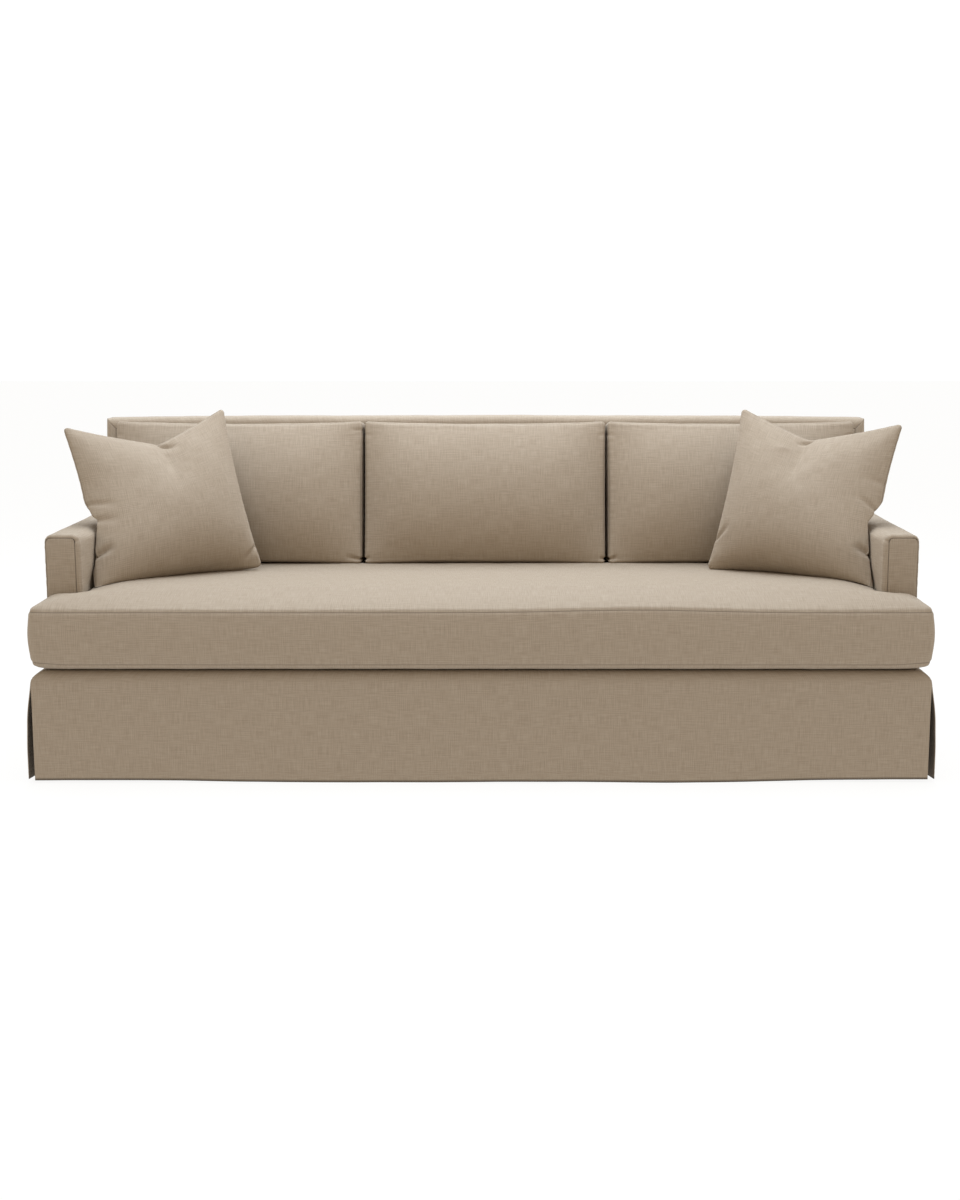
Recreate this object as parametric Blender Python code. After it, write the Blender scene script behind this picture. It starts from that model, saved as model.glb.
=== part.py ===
"""A fitted cover for a three-seat sofa, with its seat cushion, back cushions and throw pillows.

Metres, +Z up. The seat faces -Y and +X is along the sofa. The origin is on the floor, under the
middle. The sofa's own frame is left out, so the cover is hollow: its panels are sheets of cloth
that stand a hair's breadth apart along their seams.
"""
import math

import bmesh
import bpy
from mathutils import Matrix, Vector

# Cloth and seams
CLOTH = 0.002  # thickness of one panel
GAP = 0.0003  # opening left along a seam
MITRE = 0.75 * GAP  # each panel's share of a mitred seam, measured along the panel

# Plan and heights of the cover; depths are world Y
FRONT = -0.522  # front of the skirt where its waves swing out
SKIRT_FACE = FRONT + 0.003  # mean face of the front skirt
HALF_WIDTH = 1.215  # outer face of the arms and of the back
ARM_WIDTH = 0.100
ARM_FRONT = FRONT + 0.168
ARM_TOP = 0.663
DECK_TOP = 0.310
BACK_TOP = 0.9445
TOP_DROP = 0.006  # how much lower the back's top sits at its ends
TOP_DROP_START = 0.70  # height where that begins, and where it is full
BACK_REAR = FRONT + 1.045
BACK_LEAN = 0.11  # run of the inside back for each metre of height
BACK_FRONT_AT_TOP = FRONT + 0.932
SKIRT_SEAM = 0.303  # where the side and rear skirts are sewn on
ARM_INSIDE = HALF_WIDTH - ARM_WIDTH

# Arms
ARM_CORNER = 0.022  # radius of the two long top edges
ARM_ROLL = 0.010  # depth in which the arm's wrap turns to meet its front panel
ARM_SEAM_INNER = 0.015  # how far in from the arm's inner side and outer side that seam lies
ARM_SEAM_OUTER = 0.004
ARM_CORNER_CLEAR = 2.5 * GAP  # play at the panel's rounded corners, for their flat facets
ARM_BULGE = 0.008  # how far the inner side stands out above the seat
ARM_BULGE_FOOT = 0.50  # height where that begins, and the height in which it grows
ARM_BULGE_RISE = 0.07
ARM_BULGE_FRONT_RUN = 0.10  # length in which it grows from the front, and fades at the rear
ARM_BULGE_REAR = FRONT + 0.66
ARM_BULGE_REAR_RUN = 0.15
ARM_SLACK = 0.0012  # how far the wrap lies in between its seams
ARM_PANEL_CROWN = 0.002
ARM_ROWS = (0.08, 0.25, 0.45, 0.65, 0.85, 1.0)  # rows of the wrap, as shares of its run
DECK_STEP = ARM_FRONT + 0.004  # where the deck narrows, behind the arms' front panels
DECK_INNER = 0.9  # X of its outermost plain line

# Band around the back, mitred at its two top corners
BAND = 0.032  # width of its front strip
BAND_EDGE = 0.018  # radius of its front and rear edges
BAND_LIP = 0.004  # strip that turns onto the rear face
BAND_INSIDE_X = HALF_WIDTH - BAND
BAND_INSIDE_Z = BACK_TOP - BAND
TOP_DROP_STOP = BAND_INSIDE_Z - 0.02
BAND_RIPPLE = 0.8  # share of the panel waves along its front edge, and along the rest of it
BAND_RIPPLE_FLAT = 0.32
BESIDE_ARM = (0.43, 0.54, ARM_TOP - 0.024)  # rows of a side band beside the arm
OVER_ARM = ARM_TOP + 0.001  # where the band and the inside back pass the arm's top
INSIDE_ROWS = (0.48, ARM_TOP - 0.013)  # rows of the inside back below that
INSIDE_HIGH_ROW = 0.78

# Rounded shoulder where the skirt leaves the deck, seen from the side and from the front
SHOULDER_X = 1.181
SHOULDER_Z = 0.277
SHOULDER_RUN = 0.042  # how far the shoulder reaches out at each end
SHOULDER_DEPTH = 0.037  # how far it reaches forward
SHOULDER_DROP = DECK_TOP - SHOULDER_Z
SHOULDER_FADE = (0.146, 0.162)  # behind the front, where the side skirt gives up its shoulder

# Skirt
HEM_LIFT = 0.0015  # mean height of the hem's uneven edge
HEM_WAVE = {"length": 0.97, "phase": 0.8}
END_LIFT = 0.006  # how much higher the front skirt's hem is drawn up toward its ends
END_LIFT_START = 0.45  # X where that begins and where it is full
END_LIFT_STOP = 1.20
SIDE_LIFT = 0.0078  # the same on a side skirt toward its front edge
SIDE_LIFT_RUN = 0.25
SWING_START = 1.5  # how fast the front and side skirts' waves set in below the shoulder
BACK_SWING_START = 1.3
SIDE_FLARE = 0.006
SIDE_FLARE_START = 1.4
SIDE_WAVES = 0.8  # share of the front skirt's waves on the sides
BACK_FLARE = 0.006
KICK_RUN = 0.4  # share of the drop over which a panel's free edge comes out
CORNER_KICK = 0.012  # extra flare of a panel's free edge at a corner
CORNER_KICK_REACH = 0.10
REAR_KICK = 0.5  # share of that flare at the rear corners
FRONT_TUCK = 0.004  # how far the front skirt's own edges turn back
CORNER_SLIT = 0.008  # opening between two panels at a corner
INSERT_TOP = 0.270
INSERT_INSET = 0.030
INSERT_REACH = 0.090
INSERT_FOLD = 0.008  # how far its folded edge is rounded off, and over what share of a leaf
INSERT_FOLD_REACH = 0.16
INSERT_ROWS = (1.0, 0.86, 0.7, 0.35, 0.0)
INSERT_LEAF = (0.05, 0.16, 0.55, 1.0)  # columns of one leaf, from the fold outward

# Seat cushion: a boxed bench pad with a wing in front of each arm
SEAT_HALF = 1.222
SEAT_FRONT = FRONT - 0.006
WING_REAR = ARM_FRONT - 0.0045
SEAT_REAR = FRONT + 0.845
SEAT_BODY_HALF = ARM_INSIDE - 0.0035
SEAT_SEAM_LOW = 0.331
SEAT_SEAM_HIGH = 0.474
SEAT_CROWN = 0.044
SEAT_SAG = 0.018  # how far the back cushions press its rear down
SEAT_CROWN_REACH = 0.14
SEAT_ROLL_UNDER = 0.060
SEAT_BULGE = 0.008
SEAT_TIP_LIFT = 0.006  # how much higher the lower seam runs around the ends of the wings
SEAT_ARM_SQUEEZE = 0.035  # how much later its crown falls off where it meets the arms
SEAT_SIDE_BULGE = 0.001  # outward bow of its sides that face the arms and the back
SEAT_SAG_START = 0.15  # distance behind the front where the sag begins, and its length
SEAT_SAG_REACH = 0.5
SEAT_SWAY = 0.002  # height of one slow wave of its top from end to end
SEAT_CORNERS = {"front": 0.030, "wing": 0.018, "rear": 0.040}

# Back cushions: boxed pads that lean on the inside back
BACK_PAD_FOOT = 0.484  # height of the rear lower edge
BACK_PAD_RISE = 0.440
BACK_PAD_LOW = 0.165  # thickness at the seams, below and above
BACK_PAD_HIGH = 0.115
BACK_PAD_CROWN = 0.074
BACK_PAD_REACH = 0.215
BACK_PAD_FULLNESS = 0.76
BACK_PAD_ROLL = 0.050  # reach of its rounded rear edge
BACK_PAD_ROLL_DEPTH = 0.022
BACK_PAD_CORNER = 0.013
BACK_PAD_DRAW = 0.006  # how far its top and bottom edges are drawn in, and its sides
BACK_PAD_SIDE_DRAW = 0.003
BACK_PAD_SIDE_BULGE = 0.004
BACK_PAD_FRONT_DRAW = 0.004  # how much narrower the front is at each side than the rear
BACK_PAD_EAR = 0.004  # how much higher the upper corners stand
BACK_PAD_CORNER_REACH = 0.12  # distance from a corner over which that bulge grows
BACK_PAD_SPREAD_START = 0.3  # share of half its width from where its upper corners spread

# Throw pillows: knife-edged squares
PILLOW_SEAM = 0.007  # thickness along the edge
PILLOW_DRAW = 0.056
PILLOW_SIDE_POWER = 0.62  # how fast it fills in from its sides, its foot and its head
PILLOW_FOOT_POWER = 0.58
PILLOW_HEAD_POWER = 0.68
PILLOW_CURL = 0.045  # how far its lower edge is folded back under it
PILLOW_CURL_REACH = 0.32
PILLOW_CORNER = 0.075  # radius of its corners, as a share of half its width
PILLOW_CHOP = 0.35  # share of its thickness that the dent takes
PILLOW_CHOP_WIDTH = 0.22
PILLOW_PRESS = 0.0006  # clearance from what a pillow is pressed against
PILLOW_ARM_PRESS = 0.0026  # the same beside an arm
PILLOW_ARM_ROUND = 0.015  # height over an arm's top where it may lean outward

# Where each back cushion starts and ends along X, and how far its upper corners spread there
BACK_PADS = {
    "back_cushion_left": {"start": -1.1115, "end": -0.3810, "spread": (0.044, 0.0)},
    "back_cushion_middle": {"start": -0.3785, "end": 0.3785, "spread": (0.0, 0.0)},
    "back_cushion_right": {"start": 0.3810, "end": 1.1115, "spread": (0.0, 0.044)},
}

# Each throw pillow's middle, the directions of its width and height, half its width, half its
# thickness, the depth of the dent in its top edge, where along the edge that dent lies, and
# how far its lower corner beside the arm has slid forward
PILLOWS = {
    "throw_pillow_left": {
        "middle": (-0.945, FRONT + 0.500, 0.729),
        "across": (0.410, 0.270, 0.040),
        "up": (-0.110, 0.120, 0.448),
        "half": 0.252,
        "fill": 0.100,
        "dent": 0.076,
        "dent_at": 0.09,
        "slide": 0.072,
    },
    "throw_pillow_right": {
        "middle": (0.946, FRONT + 0.503, 0.729),
        "across": (0.415, -0.262, -0.030),
        "up": (0.105, 0.115, 0.450),
        "half": 0.255,
        "fill": 0.098,
        "dent": 0.066,
        "dent_at": -0.07,
        "slide": 0.060,
    },
}

# Slow waves of the cloth: wavelength along the panel, height of the wave, phase
SKIRT_WAVES = (
    {"length": 1.37, "height": 0.0022, "phase": 0.6},
    {"length": 0.61, "height": 0.0013, "phase": 2.1},
    {"length": 0.29, "height": 0.0006, "phase": 4.0},
)
PANEL_WAVES = (
    {"length": 0.83, "height": 0.0010, "phase": 1.3},
    {"length": 0.37, "height": 0.0006, "phase": 0.2},
)

FIRM = 0.6  # power of a firm pad's section; a lower one stands up faster from its seam

LINEN = {"colour": (0.462, 0.379, 0.296, 1.0), "roughness": 0.92, "metallic": 0.0}


# Small sums


def mix(a, b, t):
    """The value a fraction t of the way from a to b."""
    return a + (b - a) * t


def ease(t):
    """A fraction that leaves 0 and reaches 1 without a corner."""
    t = min(max(t, 0.0), 1.0)
    return t * t * (3.0 - 2.0 * t)


def waves(table, s):
    """The height of a table of waves at the distance s."""
    return sum(w["height"] * math.sin(2.0 * math.pi * s / w["length"] + w["phase"]) for w in table)


def steps(start, end, count):
    """Evenly spaced values, both ends included."""
    return [mix(start, end, i / count) for i in range(count + 1)]


def edged(start, end, margins, count):
    """Values from start to end with extra lines near both ends, at the given margins."""
    inner = steps(start + margins[-1], end - margins[-1], count)
    near = [start + m for m in margins[:-1]]
    far = [end - m for m in reversed(margins[:-1])]
    return near + inner + far


def back_front(z):
    """World Y of the inside back at a height."""
    return BACK_FRONT_AT_TOP - (BACK_TOP - z) * BACK_LEAN


def puff(t, power=FIRM):
    """How much of its full crown a filled pad has at a fraction t of the crown's reach."""
    t = min(max(t, 0.0), 1.0)
    return (1.0 - (1.0 - t) ** 2) ** power


def inset(x, y, outline):
    """Distance from a point inside an outline to its sides, rounded off where two sides meet."""
    total = 0.0
    for a, b in zip(outline, outline[1:] + outline[:1]):
        side = Vector(b) - Vector(a)
        along = max(0.0, min(1.0, (Vector((x, y)) - Vector(a)).dot(side) / side.length_squared))
        distance = (Vector((x, y)) - Vector(a) - side * along).length
        if distance < 1e-6:
            return 0.0
        total += distance**-5
    return total**-0.2


def round_corner(x, y, corners):
    """Move a point of a square corner onto a quarter disc of the corner's radius."""
    for corner in corners:
        cx, cy = corner["at"]
        sx, sy = corner["out"]
        r = corner["radius"]
        a = (x - (cx - sx * r)) * sx / r
        b = (y - (cy - sy * r)) * sy / r
        if a > 0.0 and b > 0.0:
            return (
                cx - sx * r + sx * r * a * math.sqrt(1.0 - b * b / 2.0),
                cy - sy * r + sy * r * b * math.sqrt(1.0 - a * a / 2.0),
            )
    return x, y


# Builders


def material(name):
    """The plain linen of one panel."""
    mat = bpy.data.materials.new(name + "_linen")
    mat.use_nodes = True
    shader = mat.node_tree.nodes["Principled BSDF"]
    shader.inputs["Base Color"].default_value = LINEN["colour"]
    shader.inputs["Roughness"].default_value = LINEN["roughness"]
    shader.inputs["Metallic"].default_value = LINEN["metallic"]
    return mat


def finish(name, bm):
    """Turn a closed bmesh into a named object with smooth faces."""
    bmesh.ops.recalc_face_normals(bm, faces=bm.faces)
    mesh = bpy.data.meshes.new(name)
    bm.to_mesh(mesh)
    bm.free()
    mesh.shade_smooth()
    mesh.set_sharp_from_angle(angle=math.radians(40.0))
    mesh.materials.append(material(name))
    obj = bpy.data.objects.new(name, mesh)
    bpy.context.collection.objects.link(obj)
    return obj


def cloth(name, us, vs, point):
    """A closed sheet. point(u, v, depth) gives its outer face at depth 0, its inner at CLOTH."""
    bm = bmesh.new()
    outer = [[bm.verts.new(point(u, v, 0.0)) for v in vs] for u in us]
    inner = [[bm.verts.new(point(u, v, CLOTH)) for v in vs] for u in us]
    for i in range(len(us) - 1):
        for j in range(len(vs) - 1):
            for layer in (outer, inner):
                bm.faces.new((layer[i][j], layer[i + 1][j], layer[i + 1][j + 1], layer[i][j + 1]))
    last_u, last_v = len(us) - 1, len(vs) - 1
    rim = [(i, 0) for i in range(last_u)] + [(last_u, j) for j in range(last_v)]
    rim += [(i, last_v) for i in range(last_u, 0, -1)] + [(0, j) for j in range(last_v, 0, -1)]
    for (i, j), (k, m) in zip(rim, rim[1:] + rim[:1]):
        bm.faces.new((outer[i][j], outer[k][m], inner[k][m], inner[i][j]))
    return finish(name, bm)


def pad(name, xs, ys, low, high, corners=(), keep=None, rings=0, bulge=None, place=None):
    """A closed body between two height fields over a grid.

    low(x, y) and high(x, y) give the lower and upper face. keep(x, y) says which cells are
    there, by their middles. rings rows of points stand between the two faces along the edge,
    pushed out by up to bulge(x, y). place(x, y, z) puts each point in the world.
    """
    bm = bmesh.new()
    place = place or (lambda x, y, z: (x, y, z))
    cells = [
        (i, j)
        for i in range(len(xs) - 1)
        for j in range(len(ys) - 1)
        if keep is None or keep((xs[i] + xs[i + 1]) / 2, (ys[j] + ys[j + 1]) / 2)
    ]
    edge_faces = {}
    for i, j in cells:
        ring = [(i, j), (i + 1, j), (i + 1, j + 1), (i, j + 1)]
        for a, b in zip(ring, ring[1:] + ring[:1]):
            edge_faces.setdefault(frozenset((a, b)), []).append((a, b))
    border = [pairs[0] for pairs in edge_faces.values() if len(pairs) == 1]
    normals = {}
    for a, b in border:
        out = Vector((ys[b[1]] - ys[a[1]], xs[a[0]] - xs[b[0]])).normalized()
        for node in (a, b):
            normals[node] = normals.get(node, Vector((0.0, 0.0))) + out
    nodes = sorted({n for i, j in cells for n in ((i, j), (i + 1, j), (i + 1, j + 1), (i, j + 1))})
    flat = {n: round_corner(xs[n[0]], ys[n[1]], corners) for n in nodes}
    levels = {n: (low(xs[n[0]], ys[n[1]]), high(xs[n[0]], ys[n[1]])) for n in nodes}
    bottom = {n: bm.verts.new(place(*flat[n], levels[n][0])) for n in nodes}
    top = {n: bm.verts.new(place(*flat[n], levels[n][1])) for n in nodes}
    for i, j in cells:
        for layer in (bottom, top):
            bm.faces.new((layer[i, j], layer[i + 1, j], layer[i + 1, j + 1], layer[i, j + 1]))
    columns = {}
    for node, out in normals.items():
        column = [bottom[node]]
        for k in range(1, rings + 1):
            t = k / (rings + 1)
            push = out.normalized() * bulge(xs[node[0]], ys[node[1]]) * math.sin(math.pi * t)
            x, y = flat[node][0] + push.x, flat[node][1] + push.y
            column.append(bm.verts.new(place(x, y, mix(*levels[node], t))))
        columns[node] = column + [top[node]]
    for a, b in border:
        for k in range(rings + 1):
            bm.faces.new((columns[a][k], columns[b][k], columns[b][k + 1], columns[a][k + 1]))
    return finish(name, bm)


# Deck


def build_deck():
    """The flat panel under the seat cushion, which runs out in front of the arms."""
    front = SKIRT_FACE + SHOULDER_DEPTH + GAP
    half, body_half = SHOULDER_X - GAP, ARM_INSIDE + CLOTH
    xs = [-half, -body_half] + steps(-DECK_INNER, DECK_INNER, 4) + [body_half, half]
    rear = back_front(DECK_TOP) - GAP
    pad(
        "deck",
        xs,
        [front, DECK_STEP, (DECK_STEP + rear) / 2, rear],
        low=lambda x, y: DECK_TOP - CLOTH,
        high=lambda x, y: DECK_TOP,
        keep=lambda x, y: y < DECK_STEP or abs(x) < body_half,
    )


# Arms


def arm_outline(depth):
    """Points (x, z) and outward normals of an arm's section, from the deck over to the skirt."""
    foot_inside, foot_outside = DECK_TOP + GAP, SKIRT_SEAM + GAP / 2
    r = ARM_CORNER
    points = []
    for z in steps(foot_inside, ARM_TOP - r, 3)[:-1]:
        points.append((Vector((ARM_INSIDE, z)), Vector((-1.0, 0.0))))
    for corner_x, first in ((ARM_INSIDE + r, math.pi), (HALF_WIDTH - r, math.pi / 2)):
        for angle in steps(first, first - math.pi / 2, 4):
            out = Vector((math.cos(angle), math.sin(angle)))
            points.append((Vector((corner_x, ARM_TOP - r)) + out * r, out))
    for z in steps(ARM_TOP - r, foot_outside, 4)[1:]:
        points.append((Vector((HALF_WIDTH, z)), Vector((1.0, 0.0))))
    return [(point - out * depth, out) for point, out in points]


def arm_bulge(y, z):
    """How far an arm's inner side stands out over the seat cushion at a place."""
    along = ease((y - ARM_FRONT) / ARM_BULGE_FRONT_RUN)
    along *= ease((ARM_BULGE_REAR - y) / ARM_BULGE_REAR_RUN)
    return ARM_BULGE * along * ease((z - ARM_BULGE_FOOT) / ARM_BULGE_RISE)


def seam_inset(out_x):
    """How far the front panel's seam lies inside the arm's outline, where it faces a way."""
    return mix(ARM_SEAM_OUTER, ARM_SEAM_INNER, (1.0 - out_x) / 2)


def within_wrap(x, z):
    """A point of an arm's front panel, moved inside the wrap's two rounded corners."""
    for corner_x, way in ((ARM_INSIDE + ARM_CORNER, -1.0), (HALF_WIDTH - ARM_CORNER, 1.0)):
        run = Vector((x - corner_x, z - ARM_TOP + ARM_CORNER))
        if run.x * way > 0.0 and run.y > 0.0:
            limit = ARM_CORNER - seam_inset(run.normalized().x) - ARM_CORNER_CLEAR
            x, z = x - run.x, z - run.y
            run *= min(1.0, limit / run.length)
            x, z = x + run.x, z + run.y
    return x, z


def build_arm(side, sign):
    """One arm: a wrap from the inside over the top to the outside, and its front panel."""
    outline = arm_outline(0.0)
    roll = [math.radians(a) for a in (0.0, 30.0, 60.0, 90.0)]

    def wrap(u, v, depth):
        point, out = outline[u]
        if v < len(roll):
            share = math.sin(roll[v])
            x, z = point - out * (seam_inset(out.x) * (1.0 - share) + depth * share)
            y = ARM_FRONT + ARM_ROLL - (ARM_ROLL - depth) * math.cos(roll[v])
        else:
            t = ARM_ROWS[v - len(roll)]
            slack = ARM_SLACK * math.sin(math.pi * t) * math.sin(3.0 * u)
            x, z = point - out * (depth + slack)
            y = mix(ARM_FRONT + ARM_ROLL, back_front(z) - GAP, t)
            x -= arm_bulge(y, z) * max(0.0, -out.x) ** 2
        return sign * x, y, z

    cloth(f"arm_wrap_{side}", range(len(outline)), range(len(roll) + len(ARM_ROWS)), wrap)

    inner, outer = ARM_INSIDE + seam_inset(-1.0) + GAP, HALF_WIDTH - seam_inset(1.0) - GAP
    foot, head = DECK_TOP + GAP, ARM_TOP - seam_inset(0.0) - GAP
    turn_inner, turn_outer = ARM_INSIDE + ARM_CORNER, HALF_WIDTH - ARM_CORNER
    turn_z = ARM_TOP - ARM_CORNER
    xs = [inner, (inner + turn_inner) / 2, turn_inner, (inner + outer) / 2]
    xs += [turn_outer, (turn_outer + outer) / 2, outer]
    zs = steps(foot, turn_z, 4) + [(turn_z + head) / 2, head]

    def face(x, z):
        across = math.sin(math.pi * (x - inner) / (outer - inner))
        return ARM_PANEL_CROWN * across * math.sin(math.pi * (z - foot) / (head - foot))

    def place(x, z, out):
        x, z = within_wrap(x, z)
        return sign * x, ARM_FRONT - out, z

    pad(
        f"arm_front_{side}",
        xs,
        zs,
        low=lambda x, z: face(x, z) - CLOTH,
        high=face,
        place=place,
    )


# Back


def band_section(depth, front, rear):
    """Points (n, y) across the band: its front strip, edge, flat, edge and rear lip."""
    r = BAND_EDGE
    flat_end = BAND - r
    section = [(flat_end * t, front + depth) for t in (0.0, 0.5)]
    for angle in steps(0.0, math.pi / 2, 3):
        n = flat_end + (r - depth) * math.sin(angle)
        section.append((n, front + r - (r - depth) * math.cos(angle)))
    section.append((BAND - depth, (front + rear) / 2))
    for angle in steps(0.0, math.pi / 2, 3):
        n = flat_end + (r - depth) * math.cos(angle)
        section.append((n, rear - r + (r - depth) * math.sin(angle)))
    section.append((flat_end - BAND_LIP, rear - depth))
    return section


BAND_POINTS = len(band_section(0.0, 0.0, 1.0))
BAND_TURN = 6  # points of the section up to the end of its front edge


def top_drop(x, z):
    """How much lower the back is at a point because its top sits lower toward its ends."""
    share = ease((z - TOP_DROP_START) / (TOP_DROP_STOP - TOP_DROP_START))
    return TOP_DROP * (abs(x) / HALF_WIDTH) ** 3 * share


def build_band_top():
    """The band along the top of the back, mitred into the two side bands."""

    def point(u, v, depth):
        n = band_section(depth, 0.0, 1.0)[u][0]
        z = BAND_INSIDE_Z + n
        y = band_section(depth, back_front(z), BACK_REAR)[u][1]
        end = BAND_INSIDE_X + n - MITRE
        x = end * v
        ripple = BAND_RIPPLE if u == BAND_TURN else BAND_RIPPLE_FLAT
        ripple *= waves(PANEL_WAVES, x) * (1.0 - v * v)
        return x, y, z + ripple - top_drop(x, z)

    cloth("back_band_top", range(BAND_POINTS), steps(-1.0, 1.0, 14), point)


def build_band_side(side, sign):
    """A side band. Above the arm it has the front strip; below, its edge meets the arm's."""
    foot = SKIRT_SEAM + GAP / 2
    levels = [foot, *BESIDE_ARM, OVER_ARM]
    rises = [0.25, 0.5, 0.75, 1.0]

    def point(u, v, depth):
        n = band_section(depth, 0.0, 1.0)[u][0]
        if v < len(levels):
            z = levels[v]
        else:
            z = mix(levels[-1], BAND_INSIDE_Z + n - MITRE, rises[v - len(levels)])
        y = band_section(depth, back_front(z), BACK_REAR)[u][1]
        if z < ARM_TOP and u < BAND_TURN:
            n = BAND - depth
            y = back_front(z) + BAND_EDGE * u / (BAND_TURN - 1)
        return sign * (BAND_INSIDE_X + n), y, z - top_drop(BAND_INSIDE_X + n, z)

    cloth(f"back_band_{side}", range(BAND_POINTS), range(len(levels) + len(rises)), point)


def build_back():
    """The inside back, the outside back and the band between them."""
    low_half, high_half = ARM_INSIDE + CLOTH, BAND_INSIDE_X - GAP
    levels = [DECK_TOP - CLOTH, *INSIDE_ROWS, OVER_ARM, INSIDE_HIGH_ROW, BAND_INSIDE_Z - GAP]

    def inside(u, z, depth):
        half = high_half if z > ARM_TOP else low_half
        return half * u, back_front(z) + depth, z - top_drop(half * u, z)

    cloth("back_inside", steps(-1.0, 1.0, 8), levels, inside)

    half = HALF_WIDTH - BAND_EDGE - BAND_LIP - GAP
    foot, head = SKIRT_SEAM + GAP / 2, BACK_TOP - BAND_EDGE - BAND_LIP - GAP

    def outside(u, v, depth):
        x, z = half * u, mix(foot, head, v)
        window = (1.0 - u * u) * math.sin(math.pi * v)
        y = BACK_REAR - depth + waves(PANEL_WAVES, x + 0.4 * z) * window
        return x, y, z - top_drop(x, z)

    cloth("back_outside", steps(-1.0, 1.0, 14), steps(0.0, 1.0, 5), outside)
    build_band_top()
    for side, sign in (("left", -1.0), ("right", 1.0)):
        build_band_side(side, sign)


# Skirt


SHOULDER_ANGLES = [math.radians(a) for a in (0.0, 30.0, 60.0, 90.0)]
DROPS = [0.20, 0.45, 0.70, 0.90, 1.0]
SKIRT_ROWS = range(len(SHOULDER_ANGLES) + len(DROPS))


def drop_level(row, s, lift=0.0):
    """Height of a skirt's row under its shoulder; the hem is a little uneven along s."""
    swell = math.sin(2.0 * math.pi * s / HEM_WAVE["length"] + HEM_WAVE["phase"])
    hem = HEM_LIFT * (1.0 + swell) + lift
    return mix(SHOULDER_Z, hem, DROPS[row - len(SHOULDER_ANGLES)])


def fall(z):
    """0 at the shoulder and 1 at the hem."""
    return (SHOULDER_Z - z) / SHOULDER_Z


def kick(z):
    """How far a panel's free edge stands out: fully from a little under its shoulder down."""
    return math.sin(math.pi / 2.0 * min(1.0, fall(z) / KICK_RUN))


def build_skirt_front():
    """The front skirt, in one piece with the shoulder that rolls under the seat cushion."""

    def point(u, row, depth):
        if row < len(SHOULDER_ANGLES):
            angle = SHOULDER_ANGLES[row]
            end = SHOULDER_X + (SHOULDER_RUN - depth) * math.sin(angle) - MITRE
            y = SKIRT_FACE + SHOULDER_DEPTH - (SHOULDER_DEPTH - depth) * math.sin(angle)
            return end * u, y, SHOULDER_Z + (SHOULDER_DROP - depth) * math.cos(angle)
        end = SHOULDER_X + SHOULDER_RUN - depth - MITRE
        x = end * u
        lift = END_LIFT * ease((abs(x) - END_LIFT_START) / (END_LIFT_STOP - END_LIFT_START))
        z = drop_level(row, x, lift)
        swing = waves(SKIRT_WAVES, x) * ease(fall(z) * SWING_START)
        tuck = FRONT_TUCK * kick(z) * abs(u) ** 12
        return x, SKIRT_FACE + depth - swing + tuck, z

    cloth("skirt_front", steps(-1.0, 1.0, 30), SKIRT_ROWS, point)


def side_face(y, z, front_edge, rear_edge):
    """How far a side skirt stands out of the arm's plane at a point."""
    out = SHOULDER_X + SHOULDER_RUN - HALF_WIDTH
    out += SIDE_FLARE * ease(fall(z) * SIDE_FLARE_START)
    out += CORNER_KICK * kick(z) * math.exp(-(y - front_edge) / CORNER_KICK_REACH)
    out += REAR_KICK * CORNER_KICK * kick(z) * math.exp(-(rear_edge - y) / CORNER_KICK_REACH)
    return out + SIDE_WAVES * waves(SKIRT_WAVES, y + 0.7) * ease(fall(z) * SWING_START)


def seam_row(row):
    """Height of a row where a skirt hangs from the cover, and its reach past the arm's plane."""
    t = row / (len(SHOULDER_ANGLES) - 1)
    reach = (SHOULDER_X + SHOULDER_RUN - HALF_WIDTH) * t * t
    return mix(SKIRT_SEAM - GAP / 2, SHOULDER_Z, t), reach


def build_skirt_side(side, sign):
    """A side skirt: in front it has the shoulder, behind it hangs from the arm's lower edge."""
    inner = [FRONT + run for run in (0.055, 0.095, *SHOULDER_FADE)] + steps(
        ARM_FRONT + 0.03, BACK_REAR - 0.04, 7
    )
    rear_corner = BACK_REAR - MITRE

    def column(u, first, last):
        return first if u == 0 else last if u > len(inner) else inner[u - 1]

    def point(u, row, depth):
        start = SKIRT_FACE + SHOULDER_DEPTH
        if row < len(SHOULDER_ANGLES):
            angle = SHOULDER_ANGLES[row]
            first = start - (SHOULDER_DEPTH - depth) * math.sin(angle) + MITRE
            y = column(u, first, rear_corner - depth)
            plain = ease((y - FRONT - SHOULDER_FADE[0]) / (SHOULDER_FADE[1] - SHOULDER_FADE[0]))
            x = SHOULDER_X + (SHOULDER_RUN - depth) * math.sin(angle)
            z = SHOULDER_Z + (SHOULDER_DROP - depth) * math.cos(angle)
            plain_z, reach = seam_row(row)
            return sign * mix(x, HALF_WIDTH + reach - depth, plain), y, mix(z, plain_z, plain)
        slit = CORNER_SLIT * kick(drop_level(row, 0.0))
        first = SKIRT_FACE + depth + MITRE + slit
        y = column(u, first, rear_corner - depth - 0.5 * slit)
        lift = SIDE_LIFT * ease((FRONT + SIDE_LIFT_RUN - y) / SIDE_LIFT_RUN)
        z = drop_level(row, y, lift)
        return sign * (HALF_WIDTH + side_face(y, z, first, rear_corner) - depth), y, z

    cloth(f"skirt_{side}", range(len(inner) + 2), SKIRT_ROWS, point)


def build_skirt_back():
    """The rear skirt, sewn under the outside back."""

    def point(u, row, depth):
        if row < len(SHOULDER_ANGLES):
            z, reach = seam_row(row)
        else:
            z, reach = drop_level(row, 0.4), seam_row(len(SHOULDER_ANGLES) - 1)[1]
        x = (HALF_WIDTH + reach - MITRE - depth) * u
        down = ease(fall(z) * BACK_SWING_START)
        swing = waves(SKIRT_WAVES, x + 0.3) * (1.0 - u**8)
        return x, BACK_REAR - depth + (BACK_FLARE + swing) * down, z

    cloth("skirt_back", steps(-1.0, 1.0, 18), SKIRT_ROWS, point)


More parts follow.
